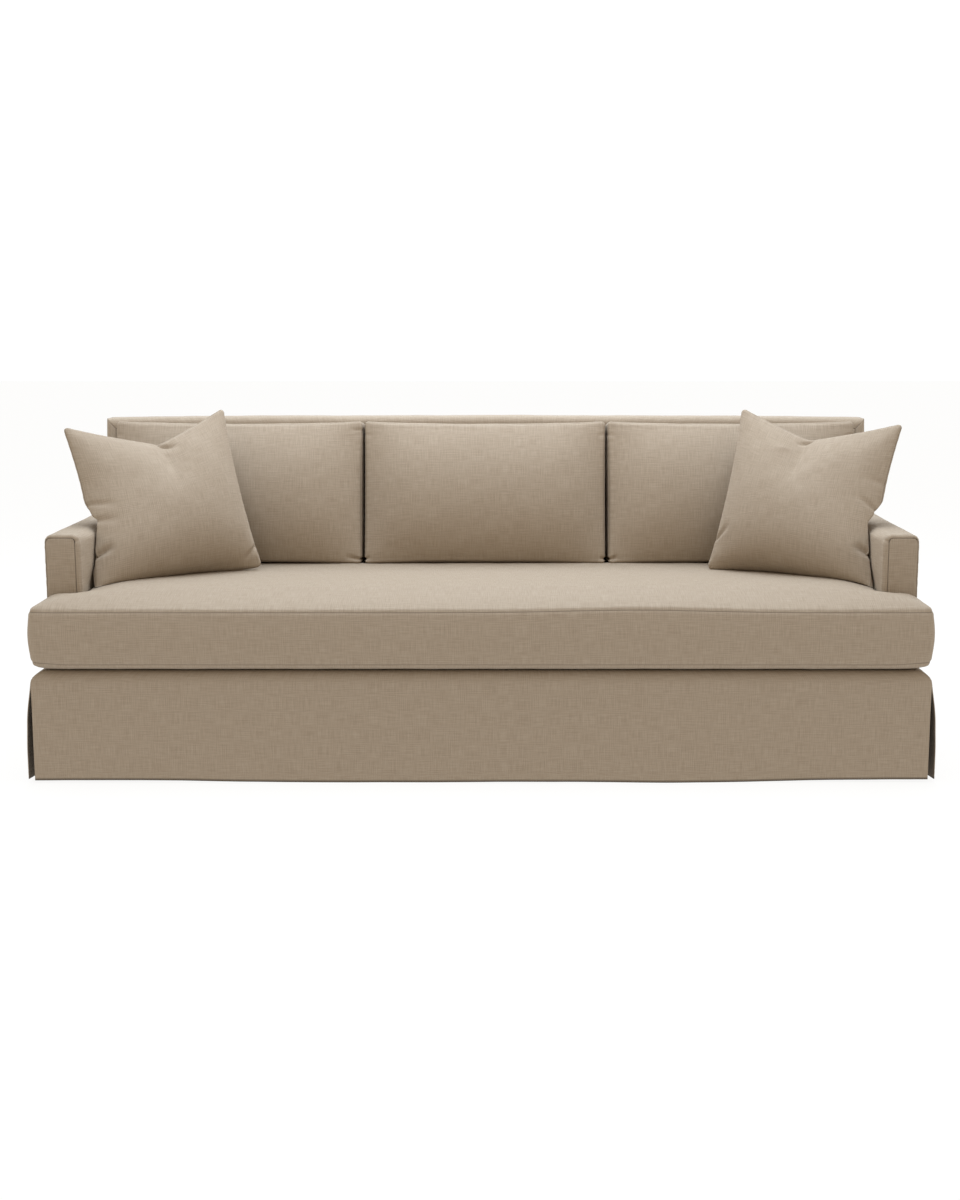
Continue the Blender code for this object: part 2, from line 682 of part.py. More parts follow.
def build_insert(name, sign_x, sign_y):
    """The pleat behind a corner's slit: one piece folded around the corner, sewn in at its top."""
    corner_y = SKIRT_FACE if sign_y < 0 else BACK_REAR
    turns = [-u for u in reversed(INSERT_LEAF)] + list(INSERT_LEAF)

    def point(u, v, depth):
        z = mix(HEM_LIFT, INSERT_TOP, v)
        back = CLOTH + 2.0 * GAP + (INSERT_INSET - CLOTH) * ease((1.0 - v) * 3.0) + depth
        soften = INSERT_FOLD * (1.0 - min(1.0, abs(u) / INSERT_FOLD_REACH)) ** 2
        along_x = INSERT_REACH * max(0.0, -u)
        along_y = INSERT_REACH * max(0.0, u)
        x = SHOULDER_X + SHOULDER_RUN - back - along_x - soften
        y = back + along_y + soften
        return sign_x * x, corner_y - sign_y * y, z

    cloth(name, turns, INSERT_ROWS, point)


# Cushions


def seat_outline(widen):
    """The seat cushion's plan, its sides that face the arms moved outward by a distance."""
    body, wing_rear = SEAT_BODY_HALF + widen, WING_REAR + widen
    right = [(SEAT_HALF, SEAT_FRONT), (SEAT_HALF, wing_rear), (body, wing_rear), (body, SEAT_REAR)]
    return right + [(-x, y) for x, y in reversed(right)]


SEAT_OUTLINE = seat_outline(0.0)
SEAT_CROWN_OUTLINE = seat_outline(SEAT_ARM_SQUEEZE)


def seat_top(x, y):
    """Height of the seat cushion's top at a point of its plan."""
    distance = inset(x, y, SEAT_CROWN_OUTLINE)
    sag = SEAT_SAG * ease((y - FRONT - SEAT_SAG_START) / SEAT_SAG_REACH)
    sag -= SEAT_SWAY * math.sin(2.2 * x + 0.9)
    return SEAT_SEAM_HIGH + (SEAT_CROWN - sag) * puff(distance / SEAT_CROWN_REACH)


def build_seat_cushion():
    """The boxed bench cushion."""

    def underside(x, y):
        roll = 1.0 - puff(inset(x, y, SEAT_OUTLINE) / SEAT_ROLL_UNDER)
        tip = SEAT_TIP_LIFT * ease((abs(x) - SEAT_BODY_HALF) / (SEAT_HALF - SEAT_BODY_HALF))
        return DECK_TOP + GAP + (SEAT_SEAM_LOW + tip - DECK_TOP - GAP) * roll

    margins = (0.0, 0.009, 0.024, 0.055)
    right = edged(0.0, SEAT_BODY_HALF, margins, 8)[3:]
    right += [mix(SEAT_BODY_HALF, SEAT_HALF, t) for t in (0.5, 0.75, 0.9, 1.0)]
    xs = [-x for x in reversed(right)] + right
    ys = edged(SEAT_FRONT, WING_REAR, (0.0, 0.012, 0.032, 0.07), 1)
    ys += edged(WING_REAR, SEAT_REAR, (0.0, 0.06, 0.14), 4)[1:-2] + [
        SEAT_REAR - 0.05,
        SEAT_REAR - 0.022,
        SEAT_REAR,
    ]
    corners = []
    for sign in (-1.0, 1.0):
        for x, y, out_y, radius in (
            (SEAT_HALF, SEAT_FRONT, -1.0, SEAT_CORNERS["front"]),
            (SEAT_HALF, WING_REAR, 1.0, SEAT_CORNERS["wing"]),
            (SEAT_BODY_HALF, SEAT_REAR, 1.0, SEAT_CORNERS["rear"]),
        ):
            corners.append({"at": (sign * x, y), "out": (sign, out_y), "radius": radius})
    pad(
        "seat_cushion",
        xs,
        ys,
        low=underside,
        high=seat_top,
        corners=corners,
        keep=lambda x, y: y < WING_REAR or abs(x) < SEAT_BODY_HALF,
        rings=3,
        bulge=lambda x, y: SEAT_BULGE if y < WING_REAR - 0.01 else SEAT_SIDE_BULGE,
    )


def back_pad_frame():
    """Place of a back cushion's own axes: X along the sofa, Y up the inside back, Z forward."""
    up = Vector((0.0, BACK_LEAN, 1.0)).normalized()
    forward = Vector((0.0, -1.0, BACK_LEAN)).normalized()
    frame = Matrix((Vector((1.0, 0.0, 0.0)), up, forward)).transposed().to_4x4()
    frame.translation = Vector((0.0, back_front(BACK_PAD_FOOT), BACK_PAD_FOOT))
    return frame


BACK_FRAME = back_pad_frame()


def back_pad_face(row, x, y):
    """How far a back cushion's front stands off the inside back, at a point of its outline."""
    seam = mix(BACK_PAD_LOW, BACK_PAD_HIGH, y / BACK_PAD_RISE)
    beside = puff(min(x - row["start"], row["end"] - x) / BACK_PAD_REACH, BACK_PAD_FULLNESS)
    above = puff(min(y, BACK_PAD_RISE - y) / BACK_PAD_REACH, BACK_PAD_FULLNESS)
    return seam + BACK_PAD_CROWN * beside * above


def back_pad_outline(row):
    """The four corners of a back cushion, in its own axes."""
    start, end = row["start"], row["end"]
    return [(start, 0.0), (end, 0.0), (end, BACK_PAD_RISE), (start, BACK_PAD_RISE)]


def build_back_cushion(name, row):
    """A boxed cushion with drawn-in sides, flat against the inside back."""
    outline = back_pad_outline(row)
    start, end = row["start"], row["end"]
    middle, half = (start + end) / 2, (end - start) / 2

    def rear(x, y):
        roll = 1.0 - puff(inset(x, y, outline) / BACK_PAD_ROLL)
        return GAP + BACK_PAD_ROLL_DEPTH * roll

    def place(x, y, z):
        across, height = (x - middle) / half, y / BACK_PAD_RISE * 2.0 - 1.0
        spread = row["spread"][0] if across < 0.0 else row["spread"][1]
        outer = max(0.0, abs(across) - BACK_PAD_SPREAD_START) / (1.0 - BACK_PAD_SPREAD_START)
        lean = spread * ease(height * 1.4) * outer
        x -= across**3 * BACK_PAD_SIDE_DRAW * (1.0 - height * height)
        x += math.copysign(lean, across)
        x -= across**7 * BACK_PAD_FRONT_DRAW * min(1.0, z / BACK_PAD_LOW) ** 2
        y -= height**3 * BACK_PAD_DRAW * (1.0 - across * across)
        y += BACK_PAD_EAR * across**6 * max(0.0, height) ** 2
        world = BACK_FRAME @ Vector((x, y, z))
        if world.y < SEAT_REAR:
            world.z = max(world.z, seat_top(world.x, world.y) + 2.0 * GAP)
        return world

    def edge_room(x, y):
        """Distance from a point of the edge to the nearest corner."""
        return min(math.hypot(x - cx, y - cy) for cx, cy in outline)

    corners = []
    for x, y in outline:
        out = (math.copysign(1.0, x - middle), math.copysign(1.0, y - BACK_PAD_RISE / 2))
        corners.append({"at": (x, y), "out": out, "radius": BACK_PAD_CORNER})
    pad(
        name,
        edged(start, end, (0.0, 0.011, 0.030, 0.075), 7),
        edged(0.0, BACK_PAD_RISE, (0.0, 0.011, 0.030, 0.075), 4),
        low=rear,
        high=lambda x, y: back_pad_face(row, x, y),
        corners=corners,
        rings=2,
        bulge=lambda x, y: BACK_PAD_SIDE_BULGE * min(1.0, edge_room(x, y) / BACK_PAD_CORNER_REACH),
        place=place,
    )


def press(world, thickness):
    """Keep a pillow's point off the seat cushion, the arms and the back cushions."""
    over_arm = max(0.0, world.z - ARM_TOP - PILLOW_ARM_ROUND)
    limit = ARM_INSIDE - PILLOW_ARM_PRESS - thickness + over_arm - arm_bulge(world.y, world.z)
    world.x = math.copysign(min(abs(world.x), limit), world.x)
    local = BACK_FRAME.inverted() @ world
    for row in BACK_PADS.values():
        if row["start"] < local.x < row["end"] and 0.0 < local.y < BACK_PAD_RISE:
            face = back_pad_face(row, local.x, local.y) + PILLOW_PRESS + thickness
            local.z = max(local.z, face)
            world = BACK_FRAME @ local
    if world.y < SEAT_REAR and abs(world.x) < SEAT_BODY_HALF:
        world.z = max(world.z, seat_top(world.x, world.y) + PILLOW_PRESS + thickness)
    return world


def pillow_swell(u, v):
    """A pillow's share of its thickness, a little fuller toward its foot."""
    s = (v + 1.0) / 2.0
    total = PILLOW_FOOT_POWER + PILLOW_HEAD_POWER
    foot, head = PILLOW_FOOT_POWER / total, PILLOW_HEAD_POWER / total
    up = (s / foot) ** PILLOW_FOOT_POWER * ((1.0 - s) / head) ** PILLOW_HEAD_POWER
    return up * (1.0 - u * u) ** PILLOW_SIDE_POWER


def build_throw_pillow(name, row):
    """A knife-edged pillow with drawn-in sides and a dent in its top edge."""
    across = Vector(row["across"]).normalized()
    up = (Vector(row["up"]) - across * across.dot(Vector(row["up"]))).normalized()
    frame = Matrix((across, up, across.cross(up))).transposed().to_4x4()
    frame.translation = Vector(row["middle"])

    def half_thickness(u, v):
        chop = math.exp(-(((u - row["dent_at"]) / PILLOW_CHOP_WIDTH) ** 2)) * ease(v + 0.1)
        return PILLOW_SEAM / 2 + row["fill"] * pillow_swell(u, v) * (1.0 - PILLOW_CHOP * chop)

    def dent(u):
        """1 at the dent, falling straight to 0 at both corners."""
        corner = -1.0 if u < row["dent_at"] else 1.0
        return 1.0 - (u - row["dent_at"]) / (corner - row["dent_at"])

    def place(u, v, z):
        front = z > 0.0
        x = row["half"] * u * (1.0 - PILLOW_DRAW * (1.0 - v * v) * u * u)
        y = row["half"] * v * (1.0 - PILLOW_DRAW * (1.0 - u * u) * v * v)
        y -= row["dent"] * dent(u) * ease((v + 0.4) / 1.4)
        under = max(0.0, 1.0 - (v + 1.0) / 2.0 / PILLOW_CURL_REACH)
        z -= PILLOW_CURL * under**2 * (1.0 - u**4)
        world = frame @ Vector((x, y, z))
        outward = math.copysign(u, u * row["middle"][0])
        world.y -= row["slide"] * ease((outward + 0.3) / 1.3) * ease((0.4 - v) / 1.4)
        return press(world, PILLOW_SEAM if front else 0.0)

    lines = [math.sin(t) for t in steps(-math.pi / 2, math.pi / 2, 14)]
    corners = [
        {"at": (u, v), "out": (u, v), "radius": PILLOW_CORNER}
        for u in (-1.0, 1.0)
        for v in (-1.0, 1.0)
    ]
    pad(
        name,
        lines,
        lines,
        low=lambda u, v: -half_thickness(u, v),
        high=half_thickness,
        corners=corners,
        place=place,
    )


def clear_scene():
    """Remove every object of the open scene."""
    for obj in list(bpy.data.objects):
        bpy.data.objects.remove(obj, do_unlink=True)


def main():
    """Build the cover and its cushions."""
    clear_scene()
    build_deck()
    for side, sign in (("left", -1.0), ("right", 1.0)):
        build_arm(side, sign)
        build_skirt_side(side, sign)
        build_insert(f"pleat_insert_front_{side}", sign, -1.0)
        build_insert(f"pleat_insert_rear_{side}", sign, 1.0)
    build_back()
    build_skirt_front()
    build_skirt_back()
    build_seat_cushion()
    for name, row in BACK_PADS.items():
        build_back_cushion(name, row)
    for name, row in PILLOWS.items():
        build_throw_pillow(name, row)


main()
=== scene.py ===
"""Looks of a fitted linen sofa cover with its bench cushion, back cushions and throw pillows.

Metres, +Z up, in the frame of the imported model: the seat faces -Y and +X runs along the sofa.
Each cut of cloth is a grid laid on its surface and given its thickness. Each cushion is raised
from a flat plan, filled by a short cloth simulation, and then gets its seams and creases.
"""
from __future__ import annotations

import logging
import math
from dataclasses import dataclass, field
from enum import Enum
from typing import Callable, Sequence

import bpy
import numpy as np
from mathutils import Matrix, Vector

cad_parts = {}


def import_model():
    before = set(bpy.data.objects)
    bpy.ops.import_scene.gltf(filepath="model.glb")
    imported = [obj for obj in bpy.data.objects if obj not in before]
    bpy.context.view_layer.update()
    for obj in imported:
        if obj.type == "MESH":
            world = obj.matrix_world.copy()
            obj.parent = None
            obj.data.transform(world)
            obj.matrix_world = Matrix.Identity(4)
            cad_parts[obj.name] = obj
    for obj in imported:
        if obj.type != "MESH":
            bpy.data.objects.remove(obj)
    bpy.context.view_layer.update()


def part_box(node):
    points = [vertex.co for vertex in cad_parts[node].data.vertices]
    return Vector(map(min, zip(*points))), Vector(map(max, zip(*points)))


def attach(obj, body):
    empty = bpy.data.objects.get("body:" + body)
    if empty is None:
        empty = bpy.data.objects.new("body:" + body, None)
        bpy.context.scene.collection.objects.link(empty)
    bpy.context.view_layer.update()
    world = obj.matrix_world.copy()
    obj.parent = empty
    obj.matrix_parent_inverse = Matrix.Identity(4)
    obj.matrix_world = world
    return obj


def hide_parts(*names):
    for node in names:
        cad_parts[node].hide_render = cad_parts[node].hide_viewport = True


logging.basicConfig(level=logging.INFO, format="%(message)s")
LOG = logging.getLogger("sofa_cover")

Array = np.ndarray
Surface = Callable[[Array, Array], tuple[Array, Array, Array]]
Outline = list[tuple[float, float]]

WEAVE_MAP = "weave"
# Distance to the nearest seam, used for grooves and for painted shade along seams; below 0 it marks
# cloth that gets painted deep shade.
GAP_MAP = "seam_gap"
PLAN_MAP = "plan"
TURN = 2.0 * math.pi
QUARTER = 0.5 * math.pi
FAR_FROM_SEAM = 1.0
NEAR_A_MARK = (0.0, 0.0014, 0.0032, 0.0062)  # where fine rows lie beside a seam or a hem
UPPER_FACE = 0.999  # share of a pad's height above which a point is on its upper face
CLEAR_OF_MARKS = 0.45  # share of the pitch that an even row keeps from a fine one


# Small sums


def mix(a: Array | float, b: Array | float, t: Array | float) -> Array | float:
    """The value a fraction t of the way from a to b."""
    return a + (b - a) * t


def ease(t: Array | float) -> Array:
    """A fraction that leaves 0 and reaches 1 without a corner."""
    t = np.clip(t, 0.0, 1.0)
    return t * t * (3.0 - 2.0 * t)


def toward(t: Array, start: float) -> Array:
    """A share that grows without a corner, from 0 at a start to 1 where t is 1."""
    return ease((t - start) / (1.0 - start))


def bend(s: Array, start: float, length: float) -> Array:
    """The angle that a quarter turn has reached at the distance s.

    Args:
        s: Distance along the cloth.
        start: Where the turn starts.
        length: Length of cloth in the turn.

    Returns:
        The angle, from 0 before the turn to a right angle behind it.
    """
    return np.clip((s - start) / length, 0.0, 1.0) * QUARTER


def puff(t: Array, power: float = 0.6) -> Array:
    """A filled pad's share of its full crown at a fraction of the crown's reach.

    Args:
        t: The fraction, from 0 at the seam to 1 where the crown is full.
        power: How full the section is: lower stands up faster from the seam.

    Returns:
        The share, from 0 to 1.
    """
    return (1.0 - (1.0 - np.clip(t, 0.0, 1.0)) ** 2) ** power


def bump(distance: Array, width: Array | float) -> Array:
    """A soft bell, 1 at distance 0 and fading over the given width."""
    return np.exp(-((distance / width) ** 2))


def waves(table: Sequence["Wave"], s: Array) -> Array:
    """The height of a table of waves at the distance s."""
    return sum(w.height * np.sin(TURN * s / w.length + w.phase) for w in table)


def spread(start: float, end: float, pitch: float, marks: Sequence[float] = ()) -> Array:
    """Positions from start to end at about a pitch, drawn closer around each mark.

    Args:
        start: First position.
        end: Last position.
        pitch: Wanted distance between positions away from the marks.
        marks: Places of seams, hems or creases that need finer rows.

    Returns:
        The positions in rising order, both ends included.
    """
    count = max(2, round((end - start) / pitch))
    even = [mix(start, end, i / count) for i in range(1, count)]
    fine = {m + side * n for m in marks for n in NEAR_A_MARK for side in (-1.0, 1.0)}
    fine = {f for f in fine if start < f < end}
    kept = [e for e in even if all(abs(e - f) > CLEAR_OF_MARKS * pitch for f in fine)]
    return np.array(sorted({start, end, *kept, *fine}))


def inset(x: Array, y: Array, outline: Outline) -> Array:
    """Distance from points inside an outline to its sides, rounded off where two sides meet."""
    sharpness, tiny = 5.0, 1e-6
    total = np.zeros_like(x)
    for (ax, ay), (bx, by) in zip(outline, outline[1:] + outline[:1]):
        length = math.hypot(bx - ax, by - ay)
        ux, uy = (bx - ax) / length, (by - ay) / length
        along = np.clip((x - ax) * ux + (y - ay) * uy, 0.0, length)
        distance = np.hypot(x - ax - ux * along, y - ay - uy * along)
        total += np.maximum(distance, tiny) ** -sharpness
    return np.where(total > 0.1 * tiny**-sharpness, 0.0, total ** (-1.0 / sharpness))


# Sizes


@dataclass(frozen=True)
class Wave:
    """One slow wave of a cloth: its wavelength, its height and its phase."""

    length: float
    height: float
    phase: float


@dataclass(frozen=True)
class Corner:
    """A plan's corner that is rounded: its place, which way it points, and its radius."""

    x: float
    y: float
    out_x: float
    out_y: float
    radius: float

    def round_off(self, x: Array, y: Array) -> tuple[Array, Array]:
        """Move points of the square corner onto a quarter disc."""
        cx, cy = self.x - self.out_x * self.radius, self.y - self.out_y * self.radius
        a = (x - cx) * self.out_x / self.radius
        b = (y - cy) * self.out_y / self.radius
        inside = (a > 0.0) & (b > 0.0) & (a <= 1.001) & (b <= 1.001)
        round_x = cx + self.out_x * self.radius * a * np.sqrt(np.clip(1.0 - b * b / 2.0, 0.0, 1.0))
        round_y = cy + self.out_y * self.radius * b * np.sqrt(np.clip(1.0 - a * a / 2.0, 0.0, 1.0))
        return np.where(inside, round_x, x), np.where(inside, round_y, y)


@dataclass(frozen=True)
class Crease:
    """A soft trough, or a ridge where its depth is below 0, in a pad's own plan.

    It runs from start to end, fades at its end and, where pinched is false, at its start too.
    """

    start: tuple[float, float]
    end: tuple[float, float]
    width: float
    depth: float
    pinched: bool = True

    def fade(self, t: Array) -> Array:
        """The crease's share of its depth at a fraction of its length."""
        root = ease((t + 0.25) / 0.25) if self.pinched else ease(t / 0.4)
        return ease((1.0 - t) / 0.7) * root

    def sink(self, x: Array, y: Array) -> Array:
        """How deep the crease is at points of the plan; it widens toward its end."""
        ax, ay = self.start
        bx, by = self.end
        length = math.hypot(bx - ax, by - ay)
        t = ((x - ax) * (bx - ax) + (y - ay) * (by - ay)) / length**2
        off = ((x - ax) * (by - ay) - (y - ay) * (bx - ax)) / length
        spread_out = self.width * (0.6 + 0.8 * np.clip(t, 0.0, 1.0))
        return self.depth * self.fade(t) * bump(off, spread_out)


@dataclass(frozen=True)
class Cover:
    """Sizes that all parts of the cover share."""

    cloth: float = 0.002
    gap: float = 0.0003
    front: float = -0.522
    half_width: float = 1.215
    arm_width: float = 0.100
    arm_run: float = 0.168
    arm_top: float = 0.663
    deck_top: float = 0.310
    back_top: float = 0.9445
    depth: float = 1.045
    back_lean: float = 0.11
    back_run: float = 0.932
    skirt_seam: float = 0.303
    bulge: float = 0.008
    bulge_foot: float = 0.50
    bulge_rise: float = 0.07
    bulge_grow: float = 0.10
    bulge_stop: float = 0.66
    bulge_fade: float = 0.15
    pitch: float = 0.0095

    @property
    def mitre(self) -> float:
        """Each panel's share of a mitred seam."""
        return 0.75 * self.gap

    @property
    def inner_foot(self) -> float:
        """World Z where the arms' cloth starts inside, above the deck."""
        return self.deck_top + self.gap

    @property
    def outer_foot(self) -> float:
        """World Z where the cloth above the skirt's seam starts."""
        return self.skirt_seam + self.gap / 2.0

    @property
    def arm_front(self) -> float:
        """World Y of the arms' front panels."""
        return self.front + self.arm_run

    @property
    def arm_inside(self) -> float:
        """World X of the arms' inner faces."""
        return self.half_width - self.arm_width

    @property
    def rear(self) -> float:
        """World Y of the outside back."""
        return self.front + self.depth

    def arm_bulge(self, y: Array, z: Array) -> Array:
        """How far an arm's inner side stands out over the seat cushion at a place."""
        grow = ease((y - self.arm_front) / self.bulge_grow)
        fade = ease((self.front + self.bulge_stop - y) / self.bulge_fade)
        return self.bulge * (grow * fade) * ease((z - self.bulge_foot) / self.bulge_rise)

    def back_front(self, z: Array | float) -> Array | float:
        """World Y of the inside back at a height."""
        return self.front + self.back_run - (self.back_top - z) * self.back_lean


COVER = Cover()
SKIRT_WAVES = (Wave(1.37, 0.0022, 0.6), Wave(0.61, 0.0013, 2.1), Wave(0.29, 0.0006, 4.0))
PANEL_WAVES = (Wave(0.83, 0.0010, 1.3), Wave(0.37, 0.0006, 0.2))
HAND_WAVES = (Wave(0.173, 0.00022, 0.9), Wave(0.107, 0.00015, 3.3), Wave(0.061, 0.00008, 5.1))


class Hold(Enum):
    """How a cut of cloth is held."""

    STRETCHED = "stretched"
    HUNG = "hung"


class Side(Enum):
    """The sofa's two ends, as seen from in front."""

    LEFT = ("left", -1.0)
    RIGHT = ("right", 1.0)

    @property
    def word(self) -> str:
        """The end's name in node names."""
        return self.value[0]

    @property
    def sign(self) -> float:
        """The end's direction along X."""
        return self.value[1]


# Finish


class Term:
    """A number socket that takes part in arithmetic and adds its Math nodes."""

    def __init__(self, nodes: "Nodes", socket: bpy.types.NodeSocket) -> None:
        self.nodes = nodes
        self.socket = socket

    def _math(self, operation: str, *values: "Term | float") -> "Term":
        """A Math node's result on some values."""
        node = self.nodes.add("ShaderNodeMath", {"operation": operation}, dict(enumerate(values)))
        return Term(self.nodes, node.outputs[0])

    def __add__(self, other: "Term | float") -> "Term":
        """This plus another."""
        return self._math("ADD", self, other)

    def __sub__(self, other: "Term | float") -> "Term":
        """This less another."""
        return self._math("SUBTRACT", self, other)

    def __rsub__(self, other: float) -> "Term":
        """A number less this."""
        return self._math("SUBTRACT", other, self)

    def __mul__(self, other: "Term | float") -> "Term":
        """This times another."""
        return self._math("MULTIPLY", self, other)


    def sine(self) -> "Term":
        """The sine of this."""
        return self._math("SINE", self)

    def clamped(self) -> "Term":
        """This, held between 0 and 1."""
        return self._math("MAXIMUM", self._math("MINIMUM", self, 1.0), 0.0)

    def between(self, low: float, high: float) -> "Term":
        """A soft step from 0 at low to 1 at high."""
        settings = {"interpolation_type": "SMOOTHSTEP"}
        node = self.nodes.add("ShaderNodeMapRange", settings, {0: self, 1: low, 2: high})
        return Term(self.nodes, node.outputs[0])


@dataclass
class Nodes:
    """The node tree of one material."""

    tree: bpy.types.NodeTree

    def add(self, kind: str, settings: dict, values: dict) -> bpy.types.Node:
        """Add a node.

        Args:
            kind: The node's type.
            settings: Properties that are set first.
            values: Numbers, colours, sockets or terms for its input sockets, by name or place.

        Returns:
            The new node.
        """
        node = self.tree.nodes.new(kind)
        for name, value in settings.items():
            setattr(node, name, value)
        for key, value in values.items():
            socket = node.inputs[key]
            if isinstance(value, Term):
                value = value.socket
            if isinstance(value, bpy.types.NodeSocket):
                self.tree.links.new(value, socket)
            else:
                socket.default_value = value
        return node

    def noise(self, u: "Term", v: "Term", detail: float = 1.0, seed: float = 0.0) -> Term:
        """A noise texture's value at a place of the cloth."""
        place = self.add("ShaderNodeCombineXYZ", {}, {0: u, 1: v, 2: seed})
        node = self.add("ShaderNodeTexNoise", {}, {"Vector": place.outputs[0], "Scale": 1.0,
                                                   "Detail": detail, "Roughness": 0.5})
        return Term(self, node.outputs["Fac"])

    def blend(self, share: "Term", first: object, second: object) -> bpy.types.NodeSocket:
        """A colour between two others."""
        node = self.add("ShaderNodeMix", {"data_type": "RGBA"}, {0: share, 6: first, 7: second})
        return node.outputs[2]


@dataclass(frozen=True)
class Linen:
    """Plain-woven heavy linen with slubs, cut along its threads."""

    name: str = "linen"
    light: tuple[float, float, float] = (0.344, 0.289, 0.226)
    middle: tuple[float, float, float] = (0.301, 0.248, 0.190)
    dark: tuple[float, float, float] = (0.256, 0.206, 0.154)
    yarn: float = 0.0026
    hatch: float = 0.0052
    slub_length: float = 0.045
    roughness: float = 0.93
    sheen: float = 0.12
    sheen_tint: tuple[float, float, float] = (1.0, 0.84, 0.66)
    sheen_roughness: float = 0.5
    specular: float = 0.2
    slub_tone: float = 0.62
    hatch_tone: float = 0.085
    tone_range: tuple[float, float] = (0.12, 0.88)
    patch_scale: tuple[float, float] = (19.0, 13.0)
    patch_range: tuple[float, float] = (0.48, 0.62)
    wobble_scale: float = 7.0
    wobble: float = 9.0
    bump: float = 0.35
    bump_height: float = 0.0006
    yarn_height: float = 0.35
    slub_height: float = 1.2
    hatch_height: float = 0.3
    # Painted shade: how dark, how strong and how wide the colour darkens along seams, and where the
    # seam-gap map falls below 0.
    seam_shade: float = 0.55
    seam_share: float = 0.8
    seam_width: float = 0.0016
    deep_shade: float = 0.14
    deep_share: float = 0.9
    deep_width: float = 0.0025

    def shade(self, share: float) -> tuple[float, float, float, float]:
        """The dark yarn's colour in shadow, at a share of its brightness."""
        return (*(c * share for c in self.dark), 1.0)

    def build(self) -> bpy.types.Material:
        """The material, with its pattern on the weave map, in metres of flat cloth, and painted
        shade along seams and in deep recesses from the seam-gap map.
        """
        material = bpy.data.materials.new(self.name)
        material.use_nodes = True
        tree = material.node_tree
        nodes = Nodes(tree)
        shader = tree.nodes["Principled BSDF"]
        uv = nodes.add("ShaderNodeUVMap", {"uv_map": WEAVE_MAP}, {})
        axes = nodes.add("ShaderNodeSeparateXYZ", {}, {0: uv.outputs[0]})
        u, v = Term(nodes, axes.outputs[0]), Term(nodes, axes.outputs[1])

        fast, slow = 1.0 / self.yarn, 1.0 / self.slub_length
        warp = nodes.noise(u * fast, v * slow, seed=3.0) - 0.5
        weft = nodes.noise(u * slow, v * fast, seed=8.0) - 0.5
        wide, tall = self.patch_scale
        patch_u = nodes.noise(u * wide, v * tall, 2.0, 21.0).between(*self.patch_range)
        patch_v = nodes.noise(u * tall, v * wide, 2.0, 34.0).between(*self.patch_range)
        drift = nodes.noise(u * self.wobble_scale, v * self.wobble_scale, 1.0, 5.0) * self.wobble
        turn = TURN / self.hatch
        hatch = (u * turn + drift).sine() * patch_u + (v * turn + drift).sine() * patch_v
        tone = warp * self.slub_tone + weft * self.slub_tone + hatch * self.hatch_tone + 0.5

        share = tone.between(*self.tone_range)
        low = nodes.blend((share * 2.0).clamped(), (*self.dark, 1.0), (*self.middle, 1.0))
        weave = nodes.blend((share * 2.0 - 1.0).clamped(), low, (*self.light, 1.0))
        # Painted shade: the colour darkens toward the dark yarn's shadow colour near seams, and
        # further where the map is below 0, on inner faces, pleat folds and the hem's lower edge.
        stored = nodes.add("ShaderNodeAttribute", {"attribute_name": GAP_MAP}, {})
        gap = Term(nodes, stored.outputs["Fac"])
        painted_seam_shade = (1.0 - gap.between(0.0, self.seam_width)) * self.seam_share
        inside = (1.0 - gap.between(-self.deep_width, 0.0)) * self.deep_share
        sewn = nodes.blend(painted_seam_shade, weave, self.shade(self.seam_shade))
        colour = nodes.blend(inside, sewn, self.shade(self.deep_shade))
        tree.links.new(colour, shader.inputs["Base Color"])

        fine = TURN / self.yarn
        yarns = (u * fine).sine() * (v * fine).sine() * self.yarn_height
        slubs = warp * self.slub_height + weft * self.slub_height
        height = yarns + slubs + hatch * self.hatch_height
        relief = nodes.add("ShaderNodeBump", {}, {"Strength": self.bump,
                                                  "Distance": self.bump_height, "Height": height})
        tree.links.new(relief.outputs[0], shader.inputs["Normal"])
        shader.inputs["Roughness"].default_value = self.roughness
        shader.inputs["Sheen Weight"].default_value = self.sheen
        shader.inputs["Sheen Roughness"].default_value = self.sheen_roughness
        shader.inputs["Sheen Tint"].default_value = (*self.sheen_tint, 1.0)
        shader.inputs["Specular IOR Level"].default_value = self.specular
        return material


@dataclass(frozen=True)
class FloorPaint:
    """The pale floor of a light table: a little painted, mostly lit from below."""

    name: str = "pale_floor"
    paint: float = 0.1
    glow: float = 0.905
    tint: tuple[float, float, float] = (1.0, 0.995, 0.985)

    def build(self) -> bpy.types.Material:
        """The material."""
        material = bpy.data.materials.new(self.name)
        material.use_nodes = True
        shader = material.node_tree.nodes["Principled BSDF"]
        shader.inputs["Base Color"].default_value = (self.paint, self.paint, self.paint, 1.0)
        shader.inputs["Roughness"].default_value = 1.0
        shader.inputs["Specular IOR Level"].default_value = 0.0
        shader.inputs["Emission Color"].default_value = (*self.tint, 1.0)
        shader.inputs["Emission Strength"].default_value = self.glow
        return material


# Mesh work


def only(obj: bpy.types.Object) -> None:
    """Make an object the only selected one, and active."""
    bpy.ops.object.select_all(action="DESELECT")
    obj.select_set(True)
    bpy.context.view_layer.objects.active = obj


def points(obj: bpy.types.Object) -> Array:
    """The places of a mesh's points, one row each."""
    co = np.empty(len(obj.data.vertices) * 3)
    obj.data.vertices.foreach_get("co", co)
    return co.reshape(-1, 3)


def move_points(obj: bpy.types.Object, co: Array) -> None:
    """Give a mesh's points new places."""
    obj.data.vertices.foreach_set("co", np.ascontiguousarray(co).ravel())
    obj.data.update()


def normals(obj: bpy.types.Object) -> Array:
    """The directions in which a mesh's points face."""
    out = np.empty(len(obj.data.vertices) * 3)
    obj.data.vertex_normals.foreach_get("vector", out)
    return out.reshape(-1, 3)


